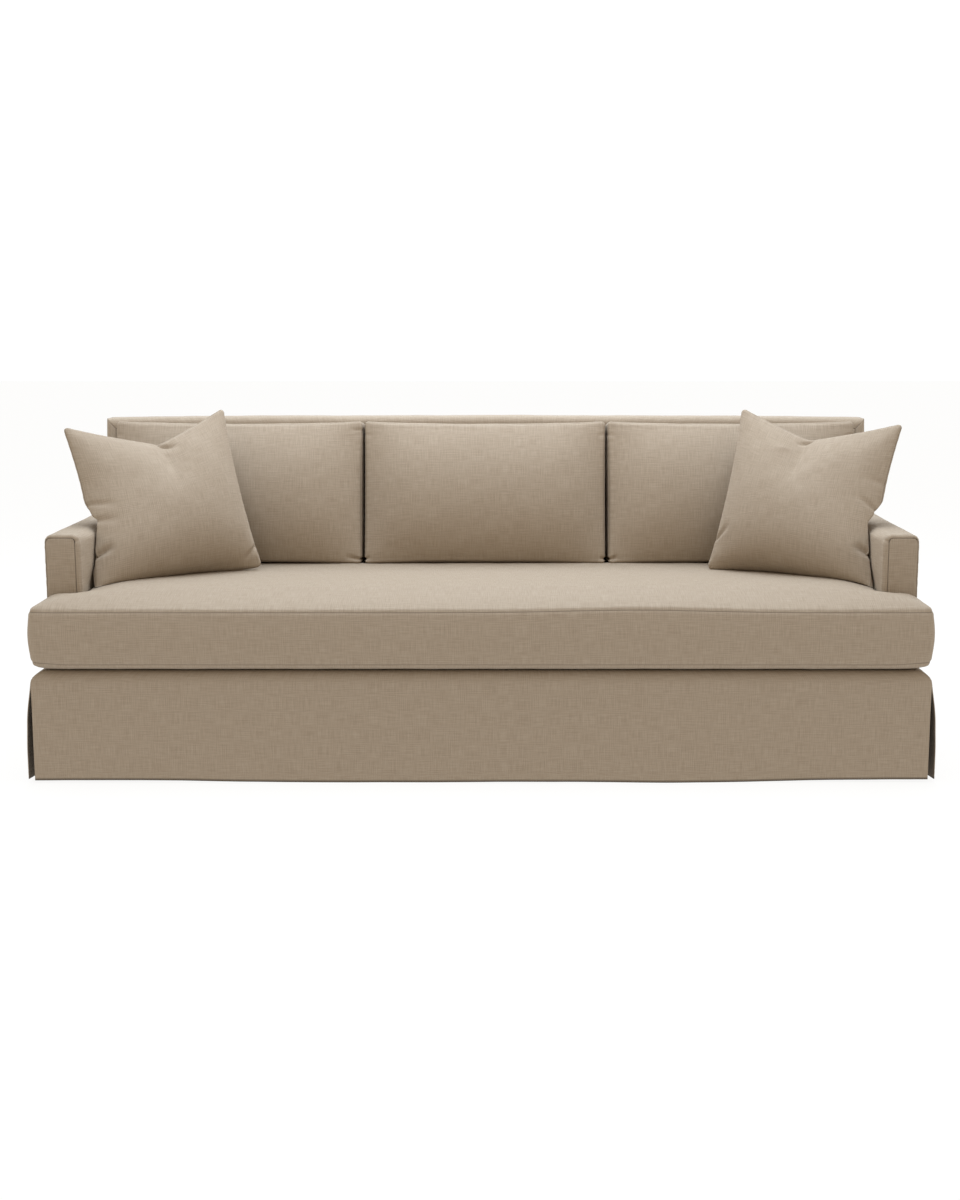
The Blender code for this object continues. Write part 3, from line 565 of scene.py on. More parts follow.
def store(obj: bpy.types.Object, name: str, values: Array) -> None:
    """Keep a number or a vector for each point under a name."""
    kind = "FLOAT" if values.ndim == 1 else "FLOAT_VECTOR"
    kept = obj.data.attributes.get(name)
    attribute = kept or obj.data.attributes.new(name, kind, "POINT")
    key = "value" if values.ndim == 1 else "vector"
    attribute.data.foreach_set(key, np.ascontiguousarray(values, dtype=np.float32).ravel())


def read(obj: bpy.types.Object, name: str) -> Array:
    """A number or a vector kept for each point."""
    attribute = obj.data.attributes[name]
    vector = attribute.data_type == "FLOAT_VECTOR"
    out = np.empty(len(attribute.data) * (3 if vector else 1), np.float32)
    attribute.data.foreach_get("vector" if vector else "value", out)
    return out.reshape(-1, 3).astype(float) if vector else out.astype(float)


def apply(obj: bpy.types.Object, kind: str, settings: dict) -> None:
    """Add a modifier to an object and apply it."""
    only(obj)
    modifier = obj.modifiers.new(kind.lower(), kind)
    for name, value in settings.items():
        setattr(modifier, name, value)
    bpy.ops.object.modifier_apply(modifier=modifier.name)


def flat_grid(name: str, columns: int, rows: int) -> tuple[bpy.types.Object, Array, Array]:
    """Add a grid primitive.

    Args:
        name: The object's name.
        columns: How many faces it has along X.
        rows: How many faces it has along Y.

    Returns:
        The object, and each point's column and row.
    """
    bpy.ops.object.select_all(action="DESELECT")
    bpy.ops.mesh.primitive_grid_add(x_subdivisions=columns, y_subdivisions=rows, size=2.0)
    obj = bpy.context.object
    obj.name = obj.data.name = name
    co = points(obj)
    i = np.rint((co[:, 0] + 1.0) / 2.0 * columns).astype(int)
    j = np.rint((co[:, 1] + 1.0) / 2.0 * rows).astype(int)
    return obj, i, j


def corners_of(obj: bpy.types.Object) -> Array:
    """The point that each face corner stands on."""
    out = np.empty(len(obj.data.loops), int)
    obj.data.loops.foreach_get("vertex_index", out)
    return out


def set_weave(obj: bpy.types.Object, flat: Array) -> None:
    """Write the weave map: each face corner's place in the flat cloth, in metres."""
    layers = obj.data.uv_layers
    layer = layers[0] if len(layers) else layers.new()
    layer.name = WEAVE_MAP
    layer.data.foreach_set("uv", np.ascontiguousarray(flat, dtype=np.float32).ravel())


@dataclass
class Dresser:
    linen: bpy.types.Material
    count: int = 0

    def finish(self, obj: bpy.types.Object, node: str) -> None:
        """Dress a piece and let it stand for its node."""
        obj.data.materials.clear()
        obj.data.materials.append(self.linen)
        obj.data.shade_smooth()
        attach(obj, "root")
        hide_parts(node)
        self.count += 1
        low, high = points(obj).min(0), points(obj).max(0)
        box_low, box_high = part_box(node)
        over = max(*(np.array(box_low) - low), *(high - np.array(box_high)))
        LOG.info("%s: %d faces, %.1f mm outside its node", obj.name, len(obj.data.polygons),
                 1000.0 * over)

    def sheet(self, obj: bpy.types.Object, node: str, flat: tuple[float, float]) -> None:
        """Finish a cut of cloth."""
        self.finish(obj, node)

    def cushion(self, obj: bpy.types.Object, node: str) -> None:
        """Finish a filled piece."""
        self.finish(obj, node)


# Cloth


@dataclass
class Cut:
    """A cut of cloth, from its flat grid to its place."""

    name: str
    across: Array
    along: Array
    outward: Vector
    seam_depth: float = 0.0011
    seam_reach: float = 0.0028
    line_share: float = 0.5
    inner_painted_shade: float = -0.0016
    calm: float = 0.03
    pucker: float = 0.00022
    pucker_rate: float = 310.0
    pucker_drift: float = 40.0
    pucker_reach: float = 0.006
    seams: tuple[bool, bool, bool, bool] = (True, True, True, True)

    def seam_gap(self, a: Array, b: Array) -> Array:
        """Distance in the flat cloth to the nearest border that is sewn."""
        gap = np.full(a.shape, FAR_FROM_SEAM)
        borders = (a - self.across[0], self.across[-1] - a, b - self.along[0], self.along[-1] - b)
        for sewn, distance in zip(self.seams, borders):
            if sewn:
                gap = np.minimum(gap, distance)
        return gap

    def hand(self, a: Array, b: Array, gap: Array) -> Array:
        """How far the cloth stands out for its seams' grooves, small waves and puckers."""
        wander = a * self.pucker_rate + 2.0 * np.sin(b * self.pucker_drift)
        push = -self.seam_depth * bump(gap, self.seam_reach)
        push += waves(HAND_WAVES, a + 0.6 * b) * ease(gap / self.calm)
        push += self.pucker * np.sin(wander) * bump(gap - self.pucker_reach, self.pucker_reach)
        return push

    def lay(self, surface: Surface, relief: Callable[[Array, Array], Array] | None = None,
            lines: Callable[[Array, Array], Array] | None = None) -> bpy.types.Object:
        """Lay the cut on a surface.

        Args:
            surface: World places for flat distances across and along.
            relief: How far folds stand out of the surface, if any.
            lines: Distance to the nearest stitched line inside the cut, if any. Below 0 the cloth
                gets painted deep shade.

        Returns:
            The finished sheet.
        """
        obj, i, j = flat_grid(self.name, len(self.across) - 1, len(self.along) - 1)
        a, b = self.across[i], self.along[j]
        move_points(obj, np.stack(surface(a, b), 1))
        if Vector(normals(obj).mean(0)).dot(self.outward) < 0.0:
            only(obj)
            bpy.ops.object.mode_set(mode="EDIT")
            bpy.ops.mesh.select_all(action="SELECT")
            bpy.ops.mesh.flip_normals()
            bpy.ops.object.mode_set(mode="OBJECT")
        gap = self.seam_gap(a, b)
        push = self.hand(a, b, gap)
        if relief is not None:
            push = push + relief(a, b)
        if lines is not None:
            line_gap = lines(a, b)
            push = push - self.line_share * self.seam_depth * bump(line_gap, self.seam_reach)
            gap = np.minimum(gap, line_gap)
        move_points(obj, points(obj) + normals(obj) * push[:, None])
        store(obj, GAP_MAP, gap)
        corner = corners_of(obj)
        set_weave(obj, np.stack((a[corner], b[corner]), 1))
        apply(obj, "SOLIDIFY", {"thickness": COVER.cloth, "offset": -1.0})
        # Painted shade: the inner face of every sheet is marked below 0, so its colour darkens as
        # the cover's hidden inside would in shade.
        shell = read(obj, GAP_MAP)
        inner = slice(len(a), None)
        shell[inner] = np.minimum(shell[inner], self.inner_painted_shade)
        store(obj, GAP_MAP, shell)
        return obj


@dataclass
class Skirt:
    """The floor-length skirt: four panels that meet at slit corners, with a pleat behind each."""

    shoulder_x: float = 1.181
    shoulder_z: float = 0.277
    shoulder_run: float = 0.042
    shoulder_depth: float = 0.037
    fade: tuple[float, float] = (0.161, 0.1675)
    hem_lift: float = 0.0015
    hem_height: float = 0.026
    hem_faint: float = 0.0011
    # Painted shade: below this height the hem's lower edge gets a dark line of shade in its colour.
    hem_painted_shade: float = 0.005
    hem_wave: tuple[float, float] = (0.97, 0.8)
    end_lift: float = 0.0060
    end_lift_run: tuple[float, float] = (0.45, 1.20)
    side_lift_share: float = 1.3
    side_lift_run: float = 0.25
    swing_growth: float = 1.5
    side_waves: float = 0.8
    side_flare: float = 0.006
    side_flare_growth: float = 1.4
    back_flare: float = 0.006
    back_flare_growth: float = 1.3
    kick_run: float = 0.4
    corner_kick: float = 0.012
    corner_kick_reach: float = 0.10
    corner_slit: float = 0.008
    rear_share: float = 0.5
    front_tuck: float = 0.004
    front_set: float = 0.003
    insert_top: float = 0.270
    insert_inset: float = 0.030
    insert_reach: float = 0.090
    insert_fold: float = 0.008
    insert_fold_reach: float = 0.0144
    insert_painted_shade: float = 0.03

    @property
    def reach(self) -> float:
        """World X of the shoulder's outermost line."""
        return self.shoulder_x + self.shoulder_run

    @property
    def length(self) -> float:
        """Length of cloth from the deck to the floor."""
        return self.turn + self.shoulder_z

    @property
    def turn(self) -> float:
        """Length of cloth in the shoulder's quarter turn."""
        return QUARTER * self.shoulder_depth

    @property
    def drop(self) -> float:
        """Height of the shoulder's turn."""
        return COVER.deck_top - self.shoulder_z

    def hem(self, s: Array | float) -> Array | float:
        """Height of the hem's uneven edge."""
        length, phase = self.hem_wave
        return self.hem_lift * (1.0 + np.sin(TURN * s / length + phase))

    def front_lift(self, x: Array) -> Array:
        """How much higher the front panel's hem is drawn up toward its ends."""
        start, stop = self.end_lift_run
        return self.end_lift * ease((np.abs(x) - start) / (stop - start))

    def side_lift(self, y: Array) -> Array:
        """How much higher a side panel's hem is drawn up toward its front edge."""
        run = ease((COVER.front + self.side_lift_run - y) / self.side_lift_run)
        return self.side_lift_share * self.end_lift * run

    def hang(self, t: Array, s: Array, lift: Array) -> tuple[Array, Array]:
        """Angle around the shoulder and height below it, for a distance t down the cloth."""
        angle = bend(t, 0.0, self.turn)
        hem = self.hem(s) + lift
        down = np.clip((t - self.turn) / self.shoulder_z, 0.0, 1.0)
        return angle, self.shoulder_z + (hem - self.shoulder_z) * down

    def fall(self, z: Array) -> Array:
        """0 at the shoulder and 1 at the hem."""
        return np.clip((self.shoulder_z - z) / self.shoulder_z, 0.0, 1.0)

    def kick(self, z: Array) -> Array:
        """A free edge's share of its kick: it grows over the upper part of the drop."""
        return np.sin(QUARTER * np.minimum(1.0, self.fall(z) / self.kick_run))

    def rows(self) -> Array:
        """Distances down the cloth, with fine rows at the hem's stitched line."""
        return spread(0.0, self.length, COVER.pitch, (self.length - self.hem_height,))

    def hem_gap(self, above: Array) -> Array:
        """Distance to the hem's stitched line, kept faint, or below 0 near its lower edge, where a
        dark line of shade is painted.
        """
        stitched = np.abs(above - self.hem_height) + self.hem_faint
        return np.minimum(stitched, 0.5 * (above - self.hem_painted_shade))

    def hem_line(self, _a: Array, b: Array) -> Array:
        """The same for a panel that turns in at the shoulder."""
        return self.hem_gap(self.length - b)

    def front(self, dresser: Dresser) -> None:
        """The front panel, with the shoulder that rolls under the bench cushion."""
        base = COVER.front + self.front_set

        def surface(a: Array, b: Array) -> tuple[Array, Array, Array]:
            u = a / self.reach
            angle, z_low = self.hang(b, a, self.front_lift(a))
            end = self.shoulder_x + self.shoulder_run * np.sin(angle) - COVER.mitre
            x = end * u
            z = np.where(b < self.turn, self.shoulder_z + self.drop * np.cos(angle), z_low)
            y = base + self.shoulder_depth * (1.0 - np.sin(angle))
            swing = waves(SKIRT_WAVES, x) * ease(self.fall(z) * self.swing_growth)
            tuck = self.front_tuck * self.kick(z) * np.abs(u) ** 12
            return x, y - np.where(b < self.turn, 0.0, swing - tuck), z

        half = self.reach
        cut = Cut("skirt_front_cloth", spread(-half, half, COVER.pitch, (-half, half)),
                  self.rows(), Vector((0.0, -1.0, 0.3)), seams=(False, False, True, False))
        obj = cut.lay(surface, lines=self.hem_line)
        dresser.sheet(obj, "skirt_front", (2.0 * half, self.length))

    def side_out(self, y: Array, z: Array, first: Array, last: Array) -> Array:
        """How far a side panel stands out of the arm's plane."""
        kick = self.corner_kick * self.kick(z)
        swing = self.side_waves * waves(SKIRT_WAVES, y + 0.7)
        out = self.reach - COVER.half_width
        out = out + self.side_flare * ease(self.fall(z) * self.side_flare_growth)
        out = out + kick * np.exp(-(y - first) / self.corner_kick_reach)
        out = out + self.rear_share * kick * np.exp(-(last - y) / self.corner_kick_reach)
        return out + swing * ease(self.fall(z) * self.swing_growth)

    def side(self, dresser: Dresser, side: Side) -> None:
        """One end's panel: a shoulder in front, then it hangs from the arm's lower edge."""
        base = COVER.front + self.front_set
        start, stop = base, COVER.rear - COVER.mitre
        past_arm = self.reach - COVER.half_width

        def surface(a: Array, b: Array) -> tuple[Array, Array, Array]:
            angle, z_low = self.hang(b, start + a, self.side_lift(start + a))
            u = a / (stop - start)
            slit = self.corner_slit * self.kick(z_low)
            on_turn = b < self.turn
            first = np.where(on_turn, base + self.shoulder_depth * (1.0 - np.sin(angle)),
                             base + slit) + COVER.mitre
            last = stop - np.where(on_turn, 0.0, self.rear_share * slit)
            near_first, near_last = (1.0 - u) ** 24, u**24
            y = start + a + (first - start) * near_first + (last - stop) * near_last
            plain = ease((y - COVER.front - self.fade[0]) / (self.fade[1] - self.fade[0]))
            t = angle / QUARTER
            turn_x = self.shoulder_x + self.shoulder_run * np.sin(angle)
            turn_z = self.shoulder_z + self.drop * np.cos(angle)
            plain_x = COVER.half_width + past_arm * t * t
            plain_z = mix(COVER.skirt_seam - COVER.gap / 2.0, self.shoulder_z, t)
            x_turn, z_turn = mix(turn_x, plain_x, plain), mix(turn_z, plain_z, plain)
            z = np.where(on_turn, z_turn, z_low)
            x = np.where(on_turn, x_turn, COVER.half_width + self.side_out(y, z, first, last))
            return side.sign * x, y, z

        marks = (0.0, self.fade[0] - self.front_set, self.fade[1] - self.front_set, stop - start)
        cut = Cut(f"skirt_{side.word}_cloth", spread(0.0, stop - start, COVER.pitch, marks),
                  self.rows(), Vector((side.sign, 0.0, 0.2)), seams=(False, False, True, False))
        obj = cut.lay(surface, lines=self.hem_line)
        dresser.sheet(obj, f"skirt_{side.word}", (stop - start, self.length))

    def back(self, dresser: Dresser) -> None:
        """The rear panel, sewn under the outside back."""
        past_arm = self.reach - COVER.half_width
        half = COVER.half_width + past_arm
        seam = COVER.skirt_seam - COVER.gap / 2.0

        def surface(a: Array, b: Array) -> tuple[Array, Array, Array]:
            u = a / half
            hem = self.hem(0.4)
            z = seam + (hem - seam) * b / seam
            t = np.clip((seam - z) / (seam - self.shoulder_z), 0.0, 1.0)
            x = (COVER.half_width + past_arm * t * t - COVER.mitre) * u
            swing = waves(SKIRT_WAVES, x + 0.3) * (1.0 - u**8)
            out = (self.back_flare + swing) * ease(self.fall(z) * self.back_flare_growth)
            return x, COVER.rear + out, z

        rows = spread(0.0, seam, COVER.pitch, (seam - self.hem_height,))
        cut = Cut("skirt_back_cloth", spread(-half, half, 1.3 * COVER.pitch, (-half, half)), rows,
                  Vector((0.0, 1.0, 0.0)), seams=(False, False, True, False))
        obj = cut.lay(surface, lines=lambda a, b: self.hem_gap(seam - b))
        dresser.sheet(obj, "skirt_back", (2.0 * half, seam))

    def insert(self, dresser: Dresser, side: Side, rear: bool) -> None:
        """The pleat behind a corner's slit, folded around the corner and sewn in at its top."""
        corner = COVER.rear if rear else COVER.front + self.front_set
        sign_y = 1.0 if rear else -1.0

        def surface(a: Array, b: Array) -> tuple[Array, Array, Array]:
            z = self.insert_top + (self.hem_lift - self.insert_top) * b / self.insert_top
            back = COVER.cloth + 2.0 * COVER.gap
            back = back + (self.insert_inset - COVER.cloth) * ease(3.0 * b / self.insert_top)
            near_fold = 1.0 - np.minimum(1.0, np.abs(a) / self.insert_fold_reach)
            soften = self.insert_fold * near_fold**2
            x = self.reach - back - np.maximum(0.0, -a) - soften
            y = back + np.maximum(0.0, a) + soften
            return side.sign * x, corner - sign_y * y, z

        place = "rear" if rear else "front"
        cut = Cut(f"pleat_{place}_{side.word}_cloth",
                  spread(-self.insert_reach, self.insert_reach, COVER.pitch, (0.0,)),
                  spread(0.0, self.insert_top, 1.5 * COVER.pitch),
                  Vector((side.sign, sign_y, 0.0)), seams=(False, False, True, False))
        # Painted shade: near its fold the pleat is marked below 0, so its colour darkens as in the
        # slit's deep shade.
        obj = cut.lay(surface, lines=lambda a, b: 0.2 * (np.abs(a) - self.insert_painted_shade))
        dresser.sheet(obj, f"pleat_insert_{place}_{side.word}",
                      (2.0 * self.insert_reach, self.insert_top))

    def build(self, dresser: Dresser) -> None:
        """Make all panels and pleats."""
        self.front(dresser)
        self.back(dresser)
        for side in Side:
            self.side(dresser, side)
            for rear in (False, True):
                self.insert(dresser, side, rear)


@dataclass
class Arms:
    """Both arms: a wrap over each, and the front panel set into it."""

    corner: float = 0.022
    roll: float = 0.010
    seam_inner: float = 0.015
    seam_outer: float = 0.004
    seam_room: float = 2.5
    crest_share: float = 0.3
    slack: float = 0.0010
    pinch: float = 0.0032
    pinch_size: tuple[float, float] = (0.0075, 0.030)
    fold: float = 0.0009
    fold_past: float = 0.012
    fold_width: float = 0.005
    fold_run: float = 0.30
    wrap_pucker: float = 0.0006
    wrap_pucker_rate: float = 190.0
    panel_crown: float = 0.002
    panel_pucker: float = 0.0005
    panel_pucker_rate: float = 170.0

    def seam_inset(self, nx: Array | float) -> Array | float:
        """How far the front panel's seam lies inside the outline, where its normal is nx."""
        return mix(self.seam_outer, self.seam_inner, (1.0 - nx) / 2.0)

    def within_wrap(self, x: Array, z: Array) -> tuple[Array, Array]:
        """Points of the front panel, moved inside the wrap's two rounded corners."""
        for corner_x, way in ((COVER.arm_inside + self.corner, -1.0),
                              (COVER.half_width - self.corner, 1.0)):
            run_x, run_z = x - corner_x, z - COVER.arm_top + self.corner
            length = np.maximum(np.hypot(run_x, run_z), 1e-9)
            limit = self.corner - self.seam_inset(run_x / length) - self.seam_room * COVER.gap
            inside = (run_x * way > 0.0) & (run_z > 0.0)
            share = np.where(inside, np.minimum(1.0, limit / length), 1.0)
            x, z = corner_x + run_x * share, COVER.arm_top - self.corner + run_z * share
        return x, z

    def section(self, s: Array) -> tuple[Array, Array, Array, Array]:
        """An arm's outline at distances from the deck: x, z and the outward normal."""
        foot_in, foot_out = COVER.inner_foot, COVER.outer_foot
        r, quarter = self.corner, QUARTER * self.corner
        rise = COVER.arm_top - r - foot_in
        top = COVER.arm_width - 2.0 * r
        marks = np.cumsum([0.0, rise, quarter, top, quarter, COVER.arm_top - r - foot_out])
        first, second = bend(s, marks[1], quarter), bend(s, marks[3], quarter)
        flat = np.clip((s - marks[2]) / top, 0.0, 1.0) * top
        nx, nz = -np.cos(first + second), np.sin(first + second)
        z = foot_in + np.clip(s, 0.0, rise) + r * np.sin(first) - r * (1.0 - np.cos(second))
        z = z - np.clip(s - marks[4], 0.0, None)
        x = COVER.arm_inside + r * (1.0 - np.cos(first)) + flat + r * np.sin(second)
        return x, z, nx, nz

    def girth(self) -> float:
        """Length of cloth around an arm, from the deck to the skirt."""
        foot_in, foot_out = COVER.inner_foot, COVER.outer_foot
        straight = 2.0 * COVER.arm_top - 2.0 * self.corner - foot_in - foot_out
        return straight + COVER.arm_width - 2.0 * self.corner + math.pi * self.corner

    def wrap(self, dresser: Dresser, side: Side) -> None:
        """The length of cloth that goes up the inside, over the top and down the outside."""
        quarter = QUARTER * self.roll
        start = COVER.arm_front + self.roll
        run = COVER.back_front(0.5) - start
        rise = COVER.arm_top - self.corner - COVER.deck_top
        crest = rise + self.crest_share * self.corner

        def surface(a: Array, b: Array) -> tuple[Array, Array, Array]:
            x, z, nx, nz = self.section(a)
            angle = bend(b, 0.0, quarter)
            tuck_in = self.seam_inset(nx) * (1.0 - np.sin(angle))
            x, z = x - nx * tuck_in, z - nz * tuck_in
            t = np.clip((b - quarter) / run, 0.0, 1.0)
            end = COVER.back_front(z) - COVER.gap
            y = start - self.roll * np.cos(angle) + (end - start) * t
            x = x - COVER.arm_bulge(y, z) * np.maximum(0.0, -nx) ** 2
            return side.sign * x, y, z

        def relief(a: Array, b: Array) -> Array:
            t = np.clip((b - quarter) / run, 0.0, 1.0)
            slack = self.slack * np.sin(math.pi * t) * np.sin(9.0 * a + 4.0 * b)
            wide, long = self.pinch_size
            pinch = -self.pinch * bump(a - crest, wide) * bump(b - quarter, long)
            fold = -self.fold * bump(a - crest - self.fold_past, self.fold_width)
            fold = fold * ease(1.3 - b / self.fold_run)
            puckers = self.wrap_pucker * np.sin(a * self.wrap_pucker_rate)
            puckers = puckers * bump(b - quarter - 0.008, 0.016)
            return slack + pinch + fold + puckers

        girth = self.girth()
        cut = Cut(f"arm_wrap_{side.word}_cloth", spread(0.0, girth, 0.85 * COVER.pitch, (crest,)),
                  spread(0.0, quarter + run, COVER.pitch, (0.0, quarter)),
                  Vector((side.sign * 0.2, 0.0, 1.0)))
        obj = cut.lay(surface, relief)
        dresser.sheet(obj, f"arm_wrap_{side.word}", (girth, quarter + run))

    def panel(self, dresser: Dresser, side: Side) -> None:
        """The upright panel on an arm's front, rounded where it meets the wrap's corners."""
        inner = COVER.arm_inside + self.seam_inner + COVER.gap
        outer = COVER.half_width - self.seam_outer - COVER.gap
        foot = COVER.inner_foot
        head = COVER.arm_top - self.seam_inset(0.0) - COVER.gap

        def surface(a: Array, b: Array) -> tuple[Array, Array, Array]:
            x, z = self.within_wrap(a, b)
            across = np.sin(math.pi * (a - inner) / (outer - inner))
            out = self.panel_crown * across * np.sin(math.pi * (b - foot) / (head - foot))
            return side.sign * x, COVER.arm_front - out, z

        def relief(a: Array, b: Array) -> Array:
            edge = np.minimum(a - inner, outer - a)
            pucker = self.panel_pucker * np.sin(b * self.panel_pucker_rate + 1.0)
            return pucker * bump(edge - 0.008, 0.010)

        cut = Cut(f"arm_front_{side.word}_cloth", spread(inner, outer, 0.005, (inner, outer)),
                  spread(foot, head, 0.007, (foot, head)), Vector((0.0, -1.0, 0.0)))
        obj = cut.lay(surface, relief)
        dresser.sheet(obj, f"arm_front_{side.word}", (outer - inner, head - foot))

    def build(self, dresser: Dresser) -> None:
        """Make both arms."""
        for side in Side:
            self.wrap(dresser, side)
            self.panel(dresser, side)


@dataclass
class Back:
    """The back: an inside and an outside panel with a mitred band between them, and the deck."""

    band: float = 0.032
    edge: float = 0.018
    lip: float = 0.004
    drop: float = 0.006
    drop_start: float = 0.70
    drop_margin: float = 0.02
    ripple: float = 0.4
    ripple_at: float = 0.085
    ripple_reach: float = 0.05
    meet_arm: tuple[float, float] = (-0.024, 0.001)
    widen_below: float = 0.013
    widen_run: float = 0.014
    sag: float = 0.0016
    pull: float = 0.0009
    pull_rate: float = 52.0
    pull_reach: float = 0.11
    deck_step: float = 0.004
    deck_step_run: float = 0.003

    @property
    def inside_x(self) -> float:
        """World X where the side bands start."""
        return COVER.half_width - self.band

    @property
    def inside_z(self) -> float:
        """World Z where the top band starts."""
        return COVER.back_top - self.band

    def section(self, s: Array, front: Array, depth: Array) -> tuple[Array, Array]:
        """The band's outline: distance out of its inner line, and world Y, at distances s.

        Args:
            s: Distance in the flat cloth; the flat part stretches to fill the depth.
            front: World Y of the front strip.
            depth: World depth of the back at the same height.
        """
        strip, quarter = self.band - self.edge, QUARTER * self.edge
        nominal = self.flat_depth()
        marks = np.cumsum([0.0, strip, quarter, nominal, quarter, self.lip])
        first, second = bend(s, marks[1], quarter), bend(s, marks[3], quarter)
        n = np.clip(s, 0.0, strip) + self.edge * np.sin(first) - self.edge * (1.0 - np.cos(second))
        n = n - np.clip(s - marks[4], 0.0, None)
        flat = (depth - 2.0 * self.edge) * np.clip((s - marks[2]) / nominal, 0.0, 1.0)
        y = front + self.edge * (1.0 - np.cos(first)) + flat + self.edge * np.sin(second)
        return n, y

    def top_drop(self, x: Array, z: Array) -> Array:
        """How much lower the back's top sits toward its ends; nothing below the drop's start."""
        run = self.inside_z - self.drop_margin - self.drop_start
        share = ease((z - self.drop_start) / run)
        return self.drop * (np.abs(x) / COVER.half_width) ** 3 * share

    def flat_depth(self) -> float:
        """Depth of the band's flat part at the top of the back."""
        return COVER.depth - COVER.back_run - 2.0 * self.edge

    def width(self) -> float:
        """Width of the band's flat cut."""
        return self.band - self.edge + math.pi * self.edge + self.flat_depth() + self.lip

    def columns(self) -> Array:
        """Positions across the band's cut, closer around its two edges."""
        turn = self.band - self.edge + QUARTER * self.edge
        return spread(0.0, self.width(), 0.006, (0.0, turn, self.width()))

    def top_band(self, dresser: Dresser) -> None:
        """The band along the top, mitred into the side bands."""

        def surface(a: Array, b: Array) -> tuple[Array, Array, Array]:
            n, _ = self.section(b, 0.0, 1.0)
            z = self.inside_z + n
            front = COVER.back_front(z)
            _, y = self.section(b, front, COVER.rear - front)
            v = a / COVER.half_width
            x = (self.inside_x + n - COVER.mitre) * v
            ripple = waves(PANEL_WAVES, x) * (1.0 - v * v)
            flat = bump(b - self.ripple_at, self.ripple_reach)
            lift = ripple * (self.ripple + self.ripple * flat)
            return x, y, z + lift - self.top_drop(x, z)

        half = COVER.half_width
        cut = Cut("band_top_cloth", spread(-half, half, 1.1 * COVER.pitch, (-half, half)),
                  self.columns(), Vector((0.0, 0.0, 1.0)))
        obj = cut.lay(surface)
        dresser.sheet(obj, "back_band_top", (2.0 * half, self.width()))

    def side_band(self, dresser: Dresser, side: Side) -> None:
        """A side band: above the arm it has the front strip; below, its edge meets the arm's."""
        foot = COVER.outer_foot
        rise = COVER.back_top - foot
        turn = self.band - self.edge + QUARTER * self.edge
        low, high = (COVER.arm_top + m for m in self.meet_arm)

        def surface(a: Array, b: Array) -> tuple[Array, Array, Array]:
            n, _ = self.section(a, 0.0, 1.0)
            top = self.inside_z + n - COVER.mitre
            z = mix(foot, top, b / rise)
            front = COVER.back_front(z)
            _, y = self.section(a, front, COVER.rear - front)
            below = 1.0 - ease((z - low) / (high - low))
            on_strip = a < turn
            flush_y = front + self.edge * np.clip(a / turn, 0.0, 1.0)
            n = np.where(on_strip, mix(n, self.band, below), n)
            y = np.where(on_strip, mix(y, flush_y, below), y)
            x = side.sign * (self.inside_x + n)
            return x, y, z - self.top_drop(x, z)

        cut = Cut(f"band_{side.word}_cloth", self.columns(),
                  spread(0.0, rise, COVER.pitch, (rise, low - foot, high - foot)),
                  Vector((side.sign, 0.0, 0.0)))
        obj = cut.lay(surface)
        dresser.sheet(obj, f"back_band_{side.word}", (self.width(), rise))

    def inside(self, dresser: Dresser) -> None:
        """The inside back, narrow between the arms and wide above them."""
        low_half = COVER.arm_inside + COVER.cloth
        high_half = self.inside_x - COVER.gap
        foot, head = COVER.deck_top - COVER.cloth, self.inside_z - COVER.gap

        def surface(a: Array, b: Array) -> tuple[Array, Array, Array]:
            z = foot + b
            wide = ease((z - COVER.arm_top + self.widen_below) / self.widen_run)
            x = a / high_half * mix(low_half, high_half, wide)
            return x, COVER.back_front(z), z - self.top_drop(x, z)

        mark = COVER.arm_top - 0.006 - foot
        cut = Cut("inside_back_cloth", spread(-high_half, high_half, 2.6 * COVER.pitch,
                                              (-high_half, high_half)),
                  spread(0.0, head - foot, 1.6 * COVER.pitch, (mark, head - foot)),
                  Vector((0.0, -1.0, 0.0)))
        obj = cut.lay(surface)
        dresser.sheet(obj, "back_inside", (2.0 * high_half, head - foot))

    def outside(self, dresser: Dresser) -> None:
        """The outside back."""
        half = COVER.half_width - self.edge - self.lip - COVER.gap
        foot = COVER.outer_foot
        head = COVER.back_top - self.edge - self.lip - COVER.gap

        def surface(a: Array, b: Array) -> tuple[Array, Array, Array]:
            z = foot + b
            u, v = a / half, b / (head - foot)
            window = (1.0 - u * u) * np.sin(math.pi * v)
            y = COVER.rear + waves(PANEL_WAVES, a + 0.4 * z) * window
            return a, y, z - self.top_drop(a, z)

        def relief(a: Array, b: Array) -> Array:
            depth = head - foot
            sag = self.sag * np.sin(math.pi * b / depth) * np.sin(5.1 * a + 2.0 * b + 0.4)
            pulls = self.pull * np.sin(self.pull_rate * a + 3.0 * np.sin(3.0 * a))
            return sag + pulls * bump(b, self.pull_reach)

        cut = Cut("outside_back_cloth", spread(-half, half, 1.3 * COVER.pitch, (-half, half)),
                  spread(0.0, head - foot, 1.3 * COVER.pitch, (0.0, head - foot)),
                  Vector((0.0, 1.0, 0.0)))
        obj = cut.lay(surface, relief)
        dresser.sheet(obj, "back_outside", (2.0 * half, head - foot))

    def deck(self, dresser: Dresser, skirt: Skirt) -> None:
        """The flat panel under the bench cushion, wider in front of the arms."""
        front = COVER.front + skirt.shoulder_depth + skirt.front_set + COVER.gap
        step = COVER.arm_front + self.deck_step
        wide, narrow = skirt.shoulder_x - COVER.gap, COVER.arm_inside + COVER.cloth
        rear = COVER.back_front(COVER.deck_top) - COVER.gap

        def surface(a: Array, b: Array) -> tuple[Array, Array, Array]:
            half = mix(wide, narrow, ease((b - step) / self.deck_step_run))
            return a / wide * half, b, np.full(a.shape, COVER.deck_top)

